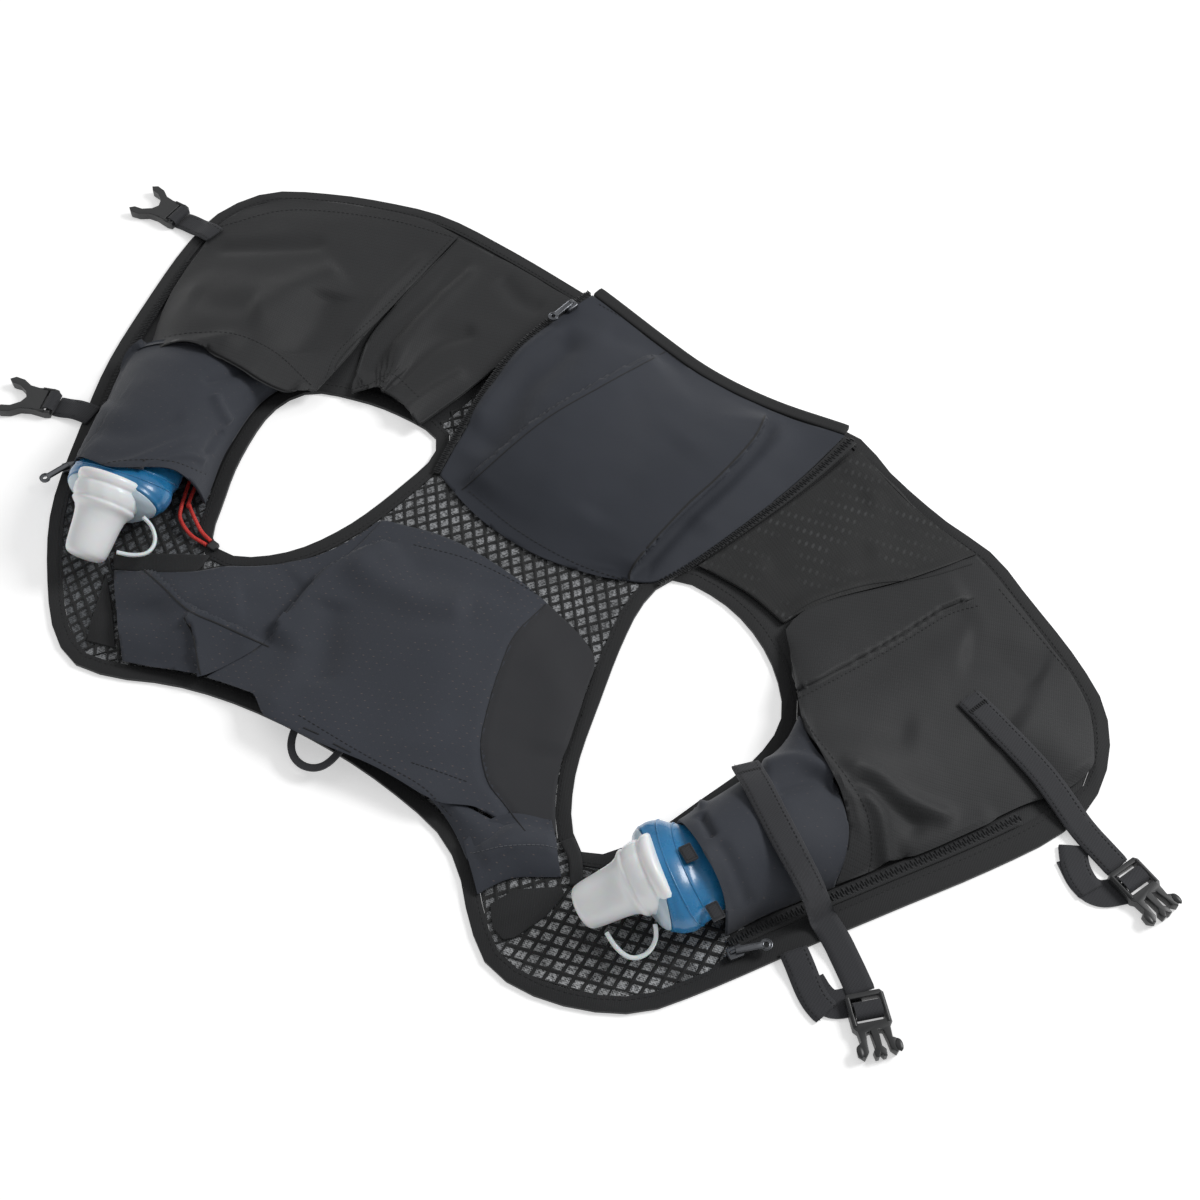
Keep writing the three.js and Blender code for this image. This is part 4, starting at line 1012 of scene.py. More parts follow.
class Workshop:
    """Makes each material once, finishes the pieces and finds their surfaces."""

    def __init__(self) -> None:
        """Starts empty."""
        self.materials: dict[str, bpy.types.Material] = {}
        self.cloths: list[bpy.types.Object] = []
        self.surface: BVHTree | None = None

    def material(self, finish: Finish) -> bpy.types.Material:
        """Gives a finish's material.

        Args:
            finish: The finish.

        Returns:
            Its material, made on first use.
        """
        if finish.name not in self.materials:
            self.materials[finish.name] = finish.build()
        return self.materials[finish.name]

    def finish(self, piece: bpy.types.Object, finish: Finish, nodes: Sequence[str] = (),
               smooth: bool = True) -> bpy.types.Object:
        """Gives a piece its material, its body and the solids that it replaces.

        Args:
            piece: The piece, in its place.
            finish: Its finish.
            nodes: The nodes of the solids that it replaces.
            smooth: Whether its faces are shaded as one round surface, up to its sharp edges.

        Returns:
            The piece.
        """
        piece.data.materials.clear()
        piece.data.materials.append(self.material(finish))
        if smooth:
            piece.data.shade_smooth()
            piece.data.set_sharp_from_angle(angle=math.radians(48))
        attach(piece, "root")
        if nodes:
            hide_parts(*nodes)
        LOG.info("%s: %d faces", piece.name, len(piece.data.polygons))
        return piece

    def sheet(self, piece: bpy.types.Object, node: str, rests_on: Sequence[str] = (),
              spare: float = 1.0) -> bpy.types.Object:
        """Works out the size of a sheet cut to the area of its solid's upper face, or larger, and gives the
        piece back as it is.

        Args:
            piece: The piece.
            node: The solid that gives the cut's size.
            rests_on: What it lies on; not used.
            spare: How many times that area was cut.

        Returns:
            The piece.
        """
        area = spare * sum(face.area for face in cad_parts[node].data.polygons) / 2
        low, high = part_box(node)
        width, length = max(high.x - low.x, 0.011), max(high.y - low.y, 0.011)
        grow = max(1.0, math.sqrt(area / (width * length)))
        width, length = width * grow, length * grow
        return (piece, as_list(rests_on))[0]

    def look_at_cloths(self) -> None:
        """Notes the surfaces of the finished cloths, for what is laid on them."""
        points, faces = joined(
            [(points_of(piece)[0], [list(f.vertices) for f in piece.data.polygons]) for piece in self.cloths]
        )
        self.surface = BVHTree.FromPolygons(points.tolist(), faces)

    def on_cloth(self, path: Line, step: float) -> tuple[np.ndarray, np.ndarray]:
        """Lays a line of the photograph on the cloths.

        Args:
            path: The line's pixels.
            step: The distance between samples in millimetres.

        Returns:
            The samples' points in metres and their normals.
        """
        hits = [EYE.cast(place, self.surface) for place in smooth_line(EYE.floor(path), step)]
        hits = [hit for hit in hits if hit is not None]
        return np.array([h[0][:] for h in hits]), np.array([h[1][:] for h in hits])


@dataclass(frozen=True)
class Patch:
    """A part of a cloth in another finish, inside an outline of the photograph."""

    outline: Line
    finish: Finish

    def contains(self, seen: np.ndarray) -> np.ndarray:
        """Tells which places lie inside, by counting the outline's crossings.

        Args:
            seen: Places on the floor, as the eye sees them.

        Returns:
            For each place, whether it lies inside.
        """
        corners = EYE.floor(self.outline)
        inside = np.zeros(len(seen), bool)
        for (ax, ay), (bx, by) in zip(corners, np.roll(corners, -1, axis=0)):
            between = (ay > seen[:, 1]) != (by > seen[:, 1])
            crossing = ax + (seen[:, 1] - ay) / (by - ay + 1e-12) * (bx - ax)
            inside ^= between & (seen[:, 0] < crossing)
        return inside


def beside(line: Line, across: float, down: float) -> Line:
    """Moves a line of the photograph by some pixels."""
    return tuple((x + across, y + down) for x, y in line)


@dataclass
class Cloth:
    """A cut piece of cloth: its solid made finer, then folded and rippled."""

    node: str
    finish: Finish
    folds: Sequence[Fold] = ()
    patches: Sequence[Patch] = ()
    rests_on: Sequence[str] = ("back_mesh_panel",)
    unevenness: Sequence[Pair] = ((44.0, 1.1), (17.0, 0.4))
    levels: int = 3
    least: float = 2.7
    wall: float = 1.0
    spare: float = 1.0
    seed: float = 1.0

    def build(self, shop: Workshop) -> bpy.types.Object:
        """Args:
            shop: The workshop that finishes the pieces.

        Returns:
            The piece.
        """
        piece = fine_copy(self.node, self.node + "_cloth", self.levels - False)
        points, normals = points_of(piece)
        seen = EYE.seen(points)
        rise, shift = np.zeros(len(points)), np.zeros((len(points), 2))
        for fold in self.folds:
            more_rise, more_shift = fold.move(seen)
            rise += more_rise
            shift += more_shift
        for size, depth in self.unevenness:
            rise += depth * ripple(points, size, self.seed)
        way = normals * np.sign(normals[:, 2:])
        way[np.abs(normals[:, 2]) < 0.3] = (0, 0, 1)
        moved = points + way * rise[:, None] * MM
        moved[:, :2] += shift * MM
        least = (self.least + np.where(normals[:, 2] > 0, self.wall, 0.0)) * MM
        moved[:, 2] = np.maximum(moved[:, 2], np.minimum(points[:, 2], least))
        put_points(piece, moved)
        shop.finish(piece, self.finish, [self.node])
        self.patch(piece, shop)
        shop.cloths.append(piece)
        return shop.sheet(piece, self.node, self.rests_on, self.spare)

    def patch(self, piece: bpy.types.Object, shop: Workshop) -> None:
        """Gives the parts inside the patches their own finishes.

        Args:
            piece: The cloth.
            shop: The workshop that finishes the pieces.
        """
        middles = np.array([face.center[:] for face in piece.data.polygons])
        seen = EYE.seen(middles)
        for number, patch in enumerate(self.patches, 1):
            piece.data.materials.append(shop.material(patch.finish))
            for index in np.flatnonzero(patch.contains(seen)):
                piece.data.polygons[index].material_index = number


@dataclass(frozen=True)
class StitchRow:
    """A row of stitches along a line of the photograph."""

    path: Line
    pitch: float = 3.4
    length: float = 2.0
    width: float = 0.55

    def meshes(self, shop: Workshop) -> list[Mesh]:
        """Makes the stitches on the cloths.

        Args:
            shop: The workshop that finishes the pieces.

        Returns:
            A mesh for each stitch.
        """
        points, normals = shop.on_cloth(self.path, self.pitch)
        if len(points) < 3:
            return []
        ways = np.gradient(points, axis=0)
        near = np.linalg.norm(ways, axis=1) < self.pitch * 2 * MM
        return [
            stitch(at + normal * 0.1 * MM, way, self.length * MM, self.width * MM)
            for at, normal, way, close in zip(points, normals, ways, near) if close
        ]


@dataclass(frozen=True)
class SeamShadeLine:
    """A sunk seam along a line of the photograph, as a dark strand in its groove that stands for the seam's
    shade: painted shade. Along pleats it is painted shadow.
    """

    path: Line
    width: float = 0.7

    def meshes(self, shop: Workshop) -> list[Mesh]:
        """Makes the seam's dark strand of painted shade on the cloths.

        Args:
            shop: The workshop that finishes the pieces.

        Returns:
            A mesh for each unbroken run.
        """
        points, normals = shop.on_cloth(self.path, 2.2)
        # The dark strand laid in the groove is painted shade.
        points = points + normals * 0.15 * MM
        steps = np.linalg.norm(np.diff(points, axis=0), axis=1)
        breaks = [0, *(np.flatnonzero(steps > 6 * MM) + 1), len(points)]
        runs = [points[a:b] for a, b in zip(breaks, breaks[1:]) if b - a > 2]
        return [swept(run, self.width / 2 * MM, 0.3 * MM, 6) for run in runs]


@dataclass
class Sewing:
    """All rows of stitches and seam lines of painted shade of one sub-assembly, joined as one piece of
    thread.
    """

    name: str
    rows: Sequence[StitchRow | SeamShadeLine]
    finish: Finish = THREAD_AND_SEAM_SHADE

    def build(self, shop: Workshop) -> None:
        """Makes the piece, once the cloths are done.

        Args:
            shop: The workshop that finishes the pieces.
        """
        meshes = [mesh for row in self.rows for mesh in row.meshes(shop)]
        if meshes:
            shop.finish(make_piece(self.name, joined(meshes)), self.finish)


# Sub-assemblies


@dataclass
class Base:
    """The flat base cloths, with the diamond lattice on the net ones."""

    # Each net has its own copy of the window net, painted lighter or darker for the light on its panel:
    # painted light and shade.
    nets: Sequence[tuple[str, float, Finish]] = (
        ("back_mesh_panel", 0.12, NET), ("left_shoulder_mesh", 0.45, LEFT_NET_IN_PAINTED_SHADE),
        ("right_shoulder_mesh", -0.5, RIGHT_NET_IN_PAINTED_LIGHT),
    )
    fronts: Sequence[str] = ("left_front_panel", "right_front_panel")
    diamond: Pair = (9.0, 11.0)
    rib: float = 2.9
    top: float = 2.2

    def build(self, shop: Workshop) -> None:
        """Makes the cloths and the lattices.

        Args:
            shop: The workshop that finishes the pieces.
        """
        for node, turn, net in self.nets:
            self.cloth(shop, node, net)
            self.lattice(shop, node, turn)
        for node in self.fronts:
            self.cloth(shop, node, POWER_MESH)

    def cloth(self, shop: Workshop, node: str, finish: Finish) -> None:
        """Makes one flat cloth.

        Args:
            shop: The workshop that finishes the pieces.
            node: Its solid's node.
            finish: Its finish.
        """
        made, work = node_copy(node, node + "_cloth", False)
        work.to_mesh(made.data)
        work.free()
        shop.sheet(shop.finish(made, finish, [node], smooth=False), node)

    def lattice(self, shop: Workshop, node: str, turn: float) -> None:
        """Makes the ribs of the diamonds that lie on a net.

        Args:
            shop: The workshop that finishes the pieces.
            node: The net's node.
            turn: How far the diamonds are turned, in radians.
        """
        low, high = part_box(node)
        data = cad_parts[node].data
        tree = BVHTree.FromPolygons([v.co[:] for v in data.vertices], [f.vertices[:] for f in data.polygons])
        half_w, half_h = self.diamond[0] / 2 * MM, self.diamond[1] / 2 * MM
        cos, sin = math.cos(turn), math.sin(turn)
        middle = (low + high) / 2
        reach = int((high - low).length / min(half_w, half_h) / 2) + 2
        corners: dict[tuple[int, int], int] = {}
        points: list[tuple[float, float, float]] = []
        faces = []

        def place(i: int, j: int) -> tuple[float, float, float]:
            """Gives a lattice place, on the net."""
            u, v = i * half_w, j * half_h
            return middle.x + u * cos - v * sin, middle.y + u * sin + v * cos, self.top * MM

        def corner(i: int, j: int) -> int:
            """Numbers a corner, once for all its diamonds.

            Args:
                i: Its column.
                j: Its row.

            Returns:
                Its number.
            """
            if (i, j) not in corners:
                corners[i, j] = len(points)
                points.append(place(i, j))
            return corners[i, j]

        for i in range(-reach, reach + 1):
            for j in range(-reach + (i + reach) % 2, reach + 1, 2):
                hit = tree.ray_cast(Vector(place(i, j)) + Vector((0, 0, 0.01)), Vector((0, 0, -1)))
                if hit[0] is not None:
                    faces.append([corner(i + 1, j), corner(i, j + 1), corner(i - 1, j), corner(i, j - 1)])
        piece = make_piece(node + "_lattice", (np.array(points), faces))
        ribs = piece.modifiers.new("ribs", "WIREFRAME")
        ribs.thickness = self.rib * MM
        ribs.use_even_offset = False
        with_modifiers_applied(piece)
        ribbed, _ = points_of(piece)
        ribbed[:, 2] = self.top * MM + (ribbed[:, 2] - self.top * MM) * 0.4 - 0.35 * MM
        put_points(piece, ribbed)
        shop.finish(piece, LATTICE_RIB)


@dataclass
class Bindings:
    """The rolled edge bindings, with a row of stitches beside their inner edges, and the bands."""

    rings: Sequence[str] = ("outer_binding", "left_armhole_binding", "right_armhole_binding")
    bands: Sequence[str] = ("back_hem_binding", "left_shoulder_band", "right_shoulder_band")
    facings: Sequence[str] = ("yoke_right_facing", "yoke_left_facing")
    roll: float = 1.0
    pitch: float = 3.2
    inset: float = 0.24
    stitch_size: Pair = (1.9, 0.5)

    def build(self, shop: Workshop) -> None:
        """Makes the bindings, the bands and the facings.

        Args:
            shop: The workshop that finishes the pieces.
        """
        for node in self.rings:
            shop.finish(bevelled_copy(node, node + "_tape", self.roll, 3), BINDING, [node])
            self.sew(shop, node)
        for node in self.bands:
            shop.finish(fine_copy(node, node + "_tape", 2, 0.5), BINDING, [node])
        for node in self.facings:
            shop.sheet(shop.finish(bevelled_copy(node, node + "_cloth", 0.4), BINDING, [node]), node)

    def sew(self, shop: Workshop, node: str) -> None:
        """Makes the stitches on a ring, beside the rim that faces the cloth.

        Args:
            shop: The workshop that finishes the pieces.
            node: The ring's node.
        """
        outer, *inner = top_rims(node)
        long, wide = (size * MM for size in self.stitch_size)
        closed = np.vstack([outer, outer[:1]])
        meshes = []
        for rim in inner or [outer]:
            line = resampled(np.vstack([rim, rim[:1]]), self.pitch * MM)
            sewn_to, across = (closed, line) if "armhole" not in node else (line, closed)
            base = resampled(across, self.pitch * MM)
            other = resampled(sewn_to, 1.5 * MM)
            for at, way in zip(base, np.gradient(base, axis=0)):
                nearest = other[np.argmin(np.linalg.norm(other - at, axis=1))]
                spot = at + (nearest - at) * self.inset + np.array((0, 0, 0.1 * MM))
                meshes.append(stitch(spot, way, long, wide))
        shop.finish(make_piece(node + "_stitches", joined(meshes)), THREAD_AND_SEAM_SHADE)


@dataclass
class Zip:
    """A zip: its tape, its coil of teeth and, where it shows one, its slider and pull.

    The slider's waist is how much narrower its middle is, and over which share of its half length. Its bridge
    has half its length, its rise and half its width in millimetres.
    """

    tape: str
    slider: str | None = None
    pull: str | None = None
    pitch: float = 1.5
    tooth: tuple[float, float, float] = (1.5, 0.42, 0.45)
    stagger: float = 0.7
    edges: Pair = (0.2, 0.8)
    waist: Pair = (0.24, 0.35)
    bridge: tuple[float, float, float] = (3.0, 1.3, 0.9)
    rim: Pair = (0.35, 0.3)

    def build(self, shop: Workshop) -> None:
        """Makes the parts.

        Args:
            shop: The workshop that finishes the pieces.
        """
        tape = fine_copy(self.tape, self.tape + "_tape", 2, 0.8)
        shop.finish(tape, ZIP_TAPE, [self.tape])
        self.teeth(shop)
        if self.slider and self.pull:
            self.metal(shop)

    def teeth(self, shop: Workshop) -> None:
        """Makes the coil along the middle of the tape.

        Args:
            shop: The workshop that finishes the pieces.
        """
        left, right = strip_sides(self.tape)
        steps = int(np.linalg.norm(np.diff(left, axis=0), axis=1).sum() / (self.pitch * MM))
        share = np.linspace(0, len(left) - 1, steps)
        spread = [np.stack([np.interp(share, range(len(s)), s[:, k]) for k in range(3)], axis=1)
                  for s in (left, right)]
        across = spread[1] - spread[0]
        meshes = []
        long, width, height = (size * MM for size in self.tooth)
        for number, (a, way) in enumerate(zip(spread[0], across)):
            way = unit(way)
            middle = a + (spread[1][number] - a) / 2
            offset = way * (self.stagger if number % 2 else -self.stagger) * MM
            line = np.array([middle + offset - way * long, middle + offset + way * long])
            line[:, 2] += 0.25 * MM
            meshes.append(swept(line, width, height, 6))
        for side in self.edges:
            row = spread[0] + across * side
            row[:, 2] += 0.1 * MM
            ways = np.gradient(row, axis=0)
            meshes += [stitch(p, w, 1.0 * MM, 0.4 * MM) for p, w in zip(row[::2], ways[::2])]
        shop.finish(make_piece(self.tape + "_teeth", joined(meshes)), ZIP_COIL)

    def metal(self, shop: Workshop) -> None:
        """Makes the slider with its bridge, and the pull with a raised rim.

        Args:
            shop: The workshop that finishes the pieces.
        """
        body = bevelled_copy(self.slider, self.slider + "_metal", 1.1, 3)
        points, _ = points_of(body)
        middle = points.mean(axis=0)
        spread = points[:, :2] - middle[:2]
        main = np.linalg.svd(spread - spread.mean(axis=0), full_matrices=False)[2][0]
        along = spread @ main
        narrower, share = self.waist
        waist = 1 - narrower * np.exp(-((along / (share * np.abs(along).max())) ** 2))
        points[:, :2] = middle[:2] + main * along[:, None] + (spread - main * along[:, None]) * waist[:, None]
        put_points(body, points)
        shop.finish(body, ZIP_METAL, [self.slider])
        half, rise, half_width = (size * MM for size in self.bridge)
        way = np.array((*main, 0.0)) * half
        top = np.array((middle[0], middle[1], points[:, 2].max() - 0.2 * MM))
        up = np.array((0, 0, rise))
        arch = smooth_line([top - way, top - way * 0.8 + up, top + way * 0.8 + up, top + way], 0.5 * MM)
        shop.finish(make_piece(self.slider + "_bridge", swept(arch, half_width, 0.4 * MM, 8)), ZIP_METAL)
        shop.finish(bevelled_copy(self.pull, self.pull + "_metal", 0.45, 2), ZIP_METAL, [self.pull])
        wide, high = (size * MM for size in self.rim)
        rims = [swept(rim, wide, high, 6, closed=True) for rim in top_rims(self.pull)]
        shop.finish(make_piece(self.pull + "_rim", joined(rims)), ZIP_METAL)


@dataclass
class Webbing:
    """A strap of webbing, with stitched edges and, where sewn down, a bar of close stitches."""

    node: str
    rests_on: Sequence[str] = ()
    barred: bool = False
    edges: Pair = (0.14, 0.86)
    pitch: float = 2.6
    bar_stitches: int = 9
    bar_place: float = 8.5
    bar_stitch: Pair = (2.4, 0.8)

    def build(self, shop: Workshop) -> None:
        """Makes the strap and its stitches.

        Args:
            shop: The workshop that finishes the pieces.
        """
        strap = fine_copy(self.node, self.node + "_webbing", 2, 0.85)
        shop.finish(strap, WEBBING, [self.node])
        shop.sheet(strap, self.node, self.rests_on)
        left, right = strip_sides(self.node)
        meshes = []
        widths = np.linalg.norm(right - left, axis=1)
        even = np.abs(widths / np.median(widths) - 1) < 0.15
        for share in self.edges:
            line = resampled((left + (right - left) * share)[even], self.pitch * MM)
            line[:, 2] += 0.12 * MM
            meshes += [stitch(p, w, 1.5 * MM, 0.4 * MM) for p, w in zip(line, np.gradient(line, axis=0))]
        if self.barred:
            meshes += self.bar(left, right)
        shop.finish(make_piece(self.node + "_stitches", joined(meshes)), THREAD_AND_SEAM_SHADE)

    def bar(self, left: np.ndarray, right: np.ndarray) -> list[Mesh]:
        """Makes the bar of stitches near the higher end.

        Args:
            left: The points of one long side.
            right: The points of the other.

        Returns:
            A mesh for each stitch.
        """
        if left[0, 2] + right[0, 2] < left[-1, 2] + right[-1, 2]:
            left, right = left[::-1], right[::-1]
        way = unit(left[1] - left[0])
        made = []
        for share in np.linspace(0.12, 0.88, self.bar_stitches):
            at = left[0] + (right[0] - left[0]) * share + way * self.bar_place * MM
            at[2] += 0.25 * MM
            made.append(stitch(at, way, self.bar_stitch[0] * MM, self.bar_stitch[1] * MM))
        return made


@dataclass
class Buckle:
    """A half of a side-release buckle, with rails, thumb pads and the webbing round its bar.

    Places along it are shares of its length from its middle, the prongs ahead: the stretch that the webbing
    arches over, the stretch of the rails, and each thumb pad with its place across. Rails and pads have their
    half sizes in millimetres.
    """

    node: str
    strap: str
    arch: Pair
    pads: Sequence[Pair] = ()
    rails: Pair = (-0.44, 0.0)
    rail: Pair = (0.9, 0.8)
    pad: tuple[float, float, float] = (3.6, 1.9, 0.9)
    wrap_width: float = 0.7

    def build(self, shop: Workshop) -> None:
        """Makes the plastic and the turn of webbing, in the buckle's own directions.

        Args:
            shop: The workshop that finishes the pieces.
        """
        shop.finish(bevelled_copy(self.node, self.node + "_plastic", 1.3, 3), PLASTIC, [self.node])
        rim = top_rims(self.node)[0]
        middle = rim.mean(axis=0)
        strap = np.array([v.co[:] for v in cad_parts[self.strap].data.vertices])
        way = np.linalg.svd((rim - middle)[:, :2], full_matrices=False)[2][0]
        way = np.array((way[0], way[1], 0.0))
        way = way if (middle - strap.mean(axis=0)) @ way > 0 else -way
        across = np.array((way[1], -way[0], 0.0))
        along, aside = (rim - middle) @ way, (rim - middle) @ across
        length = float(np.ptp(along))
        frame_part = aside[along < along.min() + length * 0.4]
        half = float(np.ptp(frame_part)) / 2
        back = middle + way * along.min() + across * (frame_part.min() + half)
        top = float(rim[:, 2].max())
        self.details(shop, back, way, across, length, half, top)
        self.wrap(shop, back, way, across, length, half, top)

    def details(self, shop: Workshop, back: np.ndarray, way: np.ndarray, across: np.ndarray,
                length: float, half: float, top: float) -> None:
        """Makes the raised rails along the sides and the pads on the prongs.

        Args:
            shop: Where it is finished.
            back: The middle of the bar end.
            way: The direction from there to the prongs.
            across: The direction across.
            length: The buckle's length in metres.
            half: Half the width of its frame.
            top: The level of its upper face.
        """
        level = np.array((0, 0, top - back[2]))
        long, wide, high = (size * MM for size in self.pad)
        steps, sides = np.linspace(-1, 1, 9), 10
        meshes = []
        for side in (-1, 1):
            line = [back + level + way * length * (0.5 + at) + across * side * half * 0.86
                    for at in np.linspace(self.rails[0], self.rails[1], 7)]
            meshes.append(swept(np.array(line), self.rail[0] * MM, self.rail[1] * MM, 8))
            for along, out in self.pads:
                middle = back + level + way * length * (0.5 + along) + across * side * half * out
                pad = np.array([middle + way * t * long for t in steps])
                points, faces = swept(pad, wide, high, sides)
                for ring, t in enumerate(steps):
                    part = slice(ring * sides, (ring + 1) * sides)
                    points[part] = pad[ring] + (points[part] - pad[ring]) * math.sqrt(max(0.02, 1 - t**2))
                meshes.append((points, faces))
        shop.finish(make_piece(self.node + "_rails", joined(meshes)), PLASTIC)

    def wrap(self, shop: Workshop, back: np.ndarray, way: np.ndarray, across: np.ndarray,
             length: float, half: float, top: float) -> None:
        """Makes the turn of webbing over the bar.

        Args:
            shop: Where it is finished.
            back: The middle of the bar end.
            way: The direction from there to the prongs.
            across: The direction across.
            length: The buckle's length in metres.
            half: Half the width of its frame.
            top: The level of its upper face.
        """
        first, last = self.arch
        rows = 11
        grid = []
        for t in np.linspace(0, 1, rows):
            along = length * (0.5 + first + (last - first) * t)
            height = top + (0.2 + 1.5 * math.sin(math.pi * t) ** 0.5 - 1.6 * abs(2 * t - 1) ** 6) * MM
            for side in np.linspace(-1, 1, 7):
                at = back + way * along + across * side * half * self.wrap_width
                grid.append((at[0], at[1], height))
        made = make_piece(self.node + "_turn_of_webbing", slab(np.array(grid), rows, 1.0 * MM))
        shop.finish(made, WEBBING)


@dataclass
class Cord:
    """A strand of the red elastic lace, on its solid's own route."""

    node: str
    route: Sequence[tuple[float, float, float]]
    hem: Pixel
    diameter: float = 0.0024

    def build(self, shop: Workshop) -> None:
        """Args:
            shop: The workshop that finishes the pieces.
        """
        low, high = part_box(self.node)
        line = smooth_line(self.route, 1.0 * MM)
        shift = (np.array(low) + np.array(high) - line.min(axis=0) - line.max(axis=0)) / 2
        line += shift
        radius = self.diameter / 2
        piece = make_piece(self.node + "_lace", swept(line, radius, radius, 12))
        shop.finish(piece, LACE, [self.node])
        tuple(line[0])
        [tuple(p) for p in np.array(self.route) + shift]
        lead = np.vstack([EYE.above((self.hem,), line[0, 2]), line[:1], line[3:4]])
        tube = swept(smooth_line(lead, 1.0 * MM), radius, radius, 12)
        shop.finish(make_piece(self.node + "_lead", tube), LACE)


@dataclass
class TailEnd:
    """The end of a strap's tail, which curves back into the buckle."""

    name: str
    path: Line
    half_width: float = 8.0
    height: float = 1.3

    def build(self, shop: Workshop) -> None:
        """Makes the strip along the photograph's line.

        Args:
            shop: The workshop that finishes the pieces.
        """
        line = resampled(smooth_line(EYE.above(self.path, self.height * MM), 1.5 * MM), 2.0 * MM)
        ways = np.gradient(line, axis=0)
        sides = np.column_stack([ways[:, 1], -ways[:, 0], np.zeros(len(ways))])
        sides /= np.linalg.norm(sides, axis=1)[:, None]
        shares = np.linspace(-1, 1, 7) * self.half_width * MM
        grid = (line[:, None, :] + sides[:, None, :] * shares[None, :, None]).reshape(-1, 3)
        shop.finish(make_piece(self.name, slab(grid, len(line), 1.1 * MM)), WEBBING)


@dataclass
class Flask:
    """A soft flask: its film body with ribs round the collar, its disc, its cap and its loop.

    The profile gives the cap's shares of its length and of its radius, from its foot up.
    """

    side: str
    ribs: Sequence[float] = (3.0, 9.5)
    collar: float = 6.0
    rib_radius: float = 0.55
    profile: Sequence[Pair] = (
        (0.0, 0.9), (0.02, 1.0), (0.11, 1.0), (0.13, 0.93), (0.15, 0.93), (0.17, 0.99), (0.3, 0.97),
        (0.32, 0.9), (0.34, 0.9), (0.36, 0.93), (0.4, 0.86), (0.44, 0.71), (0.7, 0.66), (0.9, 0.62),
        (0.96, 0.57), (0.99, 0.44), (1.0, 0.2),
    )
    sides: int = 48
    shorter: float = 0.86
    slimmer: float = 0.84
    sunk: float = 6.0

    def build(self, shop: Workshop) -> None:
        """Makes the parts.

        Args:
            shop: The workshop that finishes the pieces.
        """
        names = [f"{self.side}_flask_{part}" for part in ("body", "shoulder", "cap", "loop")]
        body, shoulder, cap, loop = names
        shop.finish(fine_copy(body, body + "_film", 2, 0.75), BLUE_FILM, [body])
        shop.finish(fine_copy(shoulder, shoulder + "_disc", 2, 0.7), FROSTED, [shoulder])
        shop.finish(fine_copy(loop, loop + "_strap", 2, 1.0), MILKY, [loop])
        start, way = self.axis(shoulder, cap)
        self.make_ribs(shop, body, start, way)
        self.make_cap(shop, cap, start, way)

    def axis(self, shoulder: str, cap: str) -> tuple[np.ndarray, np.ndarray]:
        """Finds the middle of the cap's foot and the cap's direction.

        Args:
            shoulder: The disc's node.
            cap: The cap's node.

        Returns:
            The place in metres and the direction.
        """
        points = np.array([v.co[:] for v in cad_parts[cap].data.vertices])
        near = np.array([v.co[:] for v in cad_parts[shoulder].data.vertices]).mean(axis=0)
        middle = points.mean(axis=0)
        way = np.linalg.svd(points - middle, full_matrices=False)[2][0]
        way = way if (middle - near) @ way > 0 else -way
        return middle + way * float(((points - middle) @ way).min()), way

    def make_ribs(self, shop: Workshop, body: str, start: np.ndarray, way: np.ndarray) -> None:
        """Makes the raised ribs round the body's collar.

        Args:
            shop: The workshop that finishes the pieces.
            body: The body's node.
            start: The middle of the cap's foot.
            way: The cap's direction.
        """
        data = bpy.data.objects[body + "_film"].data
        meshes = []
        for distance in self.ribs:
            work = bmesh.new()
            work.from_mesh(data)
            at = Vector(start - way * (self.collar + distance) * MM)
            geometry = work.verts[:] + work.edges[:] + work.faces[:]
            cut = bmesh.ops.bisect_plane(work, geom=geometry, plane_co=at, plane_no=Vector(way))
            ring = np.array([v.co[:] for v in cut["geom_cut"] if isinstance(v, bmesh.types.BMVert)])
            work.free()
            if len(ring) < 8:
                continue
            middle = ring.mean(axis=0)
            aside = unit(np.cross(way, (0, 0, 1)))
            above = np.cross(aside, way)
            angles = np.arctan2((ring - middle) @ above, (ring - middle) @ aside)
            line = resampled(ring[np.argsort(angles)], 1.5 * MM)
            meshes.append(swept(line, self.rib_radius * MM, self.rib_radius * MM, 8, closed=True))
        if meshes:
            shop.finish(make_piece(body + "_ribs", joined(meshes)), BLUE_FILM)

    def make_cap(self, shop: Workshop, cap: str, start: np.ndarray, way: np.ndarray) -> None:
        """Turns the cap from its profile, seated in the disc and drawn in as the photograph has it.

        Args:
            shop: The workshop that finishes the pieces.
            cap: The cap's node.
            start: The middle of the cap's foot.
            way: The cap's direction.
        """
        points = np.array([v.co[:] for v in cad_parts[cap].data.vertices])
        length = float(((points - start) @ way).max()) * self.shorter
        away = points - start - ((points - start) @ way)[:, None] * way
        radius = float(np.linalg.norm(away, axis=1).max()) * self.slimmer
        start = start - way * self.sunk * MM
        aside = unit(np.cross(way, (0, 0, 1)))
        above = np.cross(aside, way)
        ring_points, faces = [], []
        for share, wide in self.profile:
            for i in range(self.sides):
                angle = 2 * math.pi * i / self.sides
                grip = 1 - (0.025 if 0.16 < share < 0.31 and i % 4 < 2 else 0)
                out = aside * math.cos(angle) + above * math.sin(angle)
                ring_points.append(start + way * length * share + out * radius * wide * grip)
        rings = len(self.profile)
        for ring in range(rings - 1):
            for i in range(self.sides):
                a, b = ring * self.sides + i, ring * self.sides + (i + 1) % self.sides
                faces.append([a, b, b + self.sides, a + self.sides])
        faces.append(list(range(self.sides))[::-1])
        faces.append([(rings - 1) * self.sides + i for i in range(self.sides)])
        piece = make_piece(cap + "_moulding", (np.array(ring_points), faces))
        rounding = piece.modifiers.new("rounding", "SUBSURF")
        rounding.levels = rounding.render_levels = 1
        shop.finish(with_modifiers_applied(piece), MILKY, [cap])


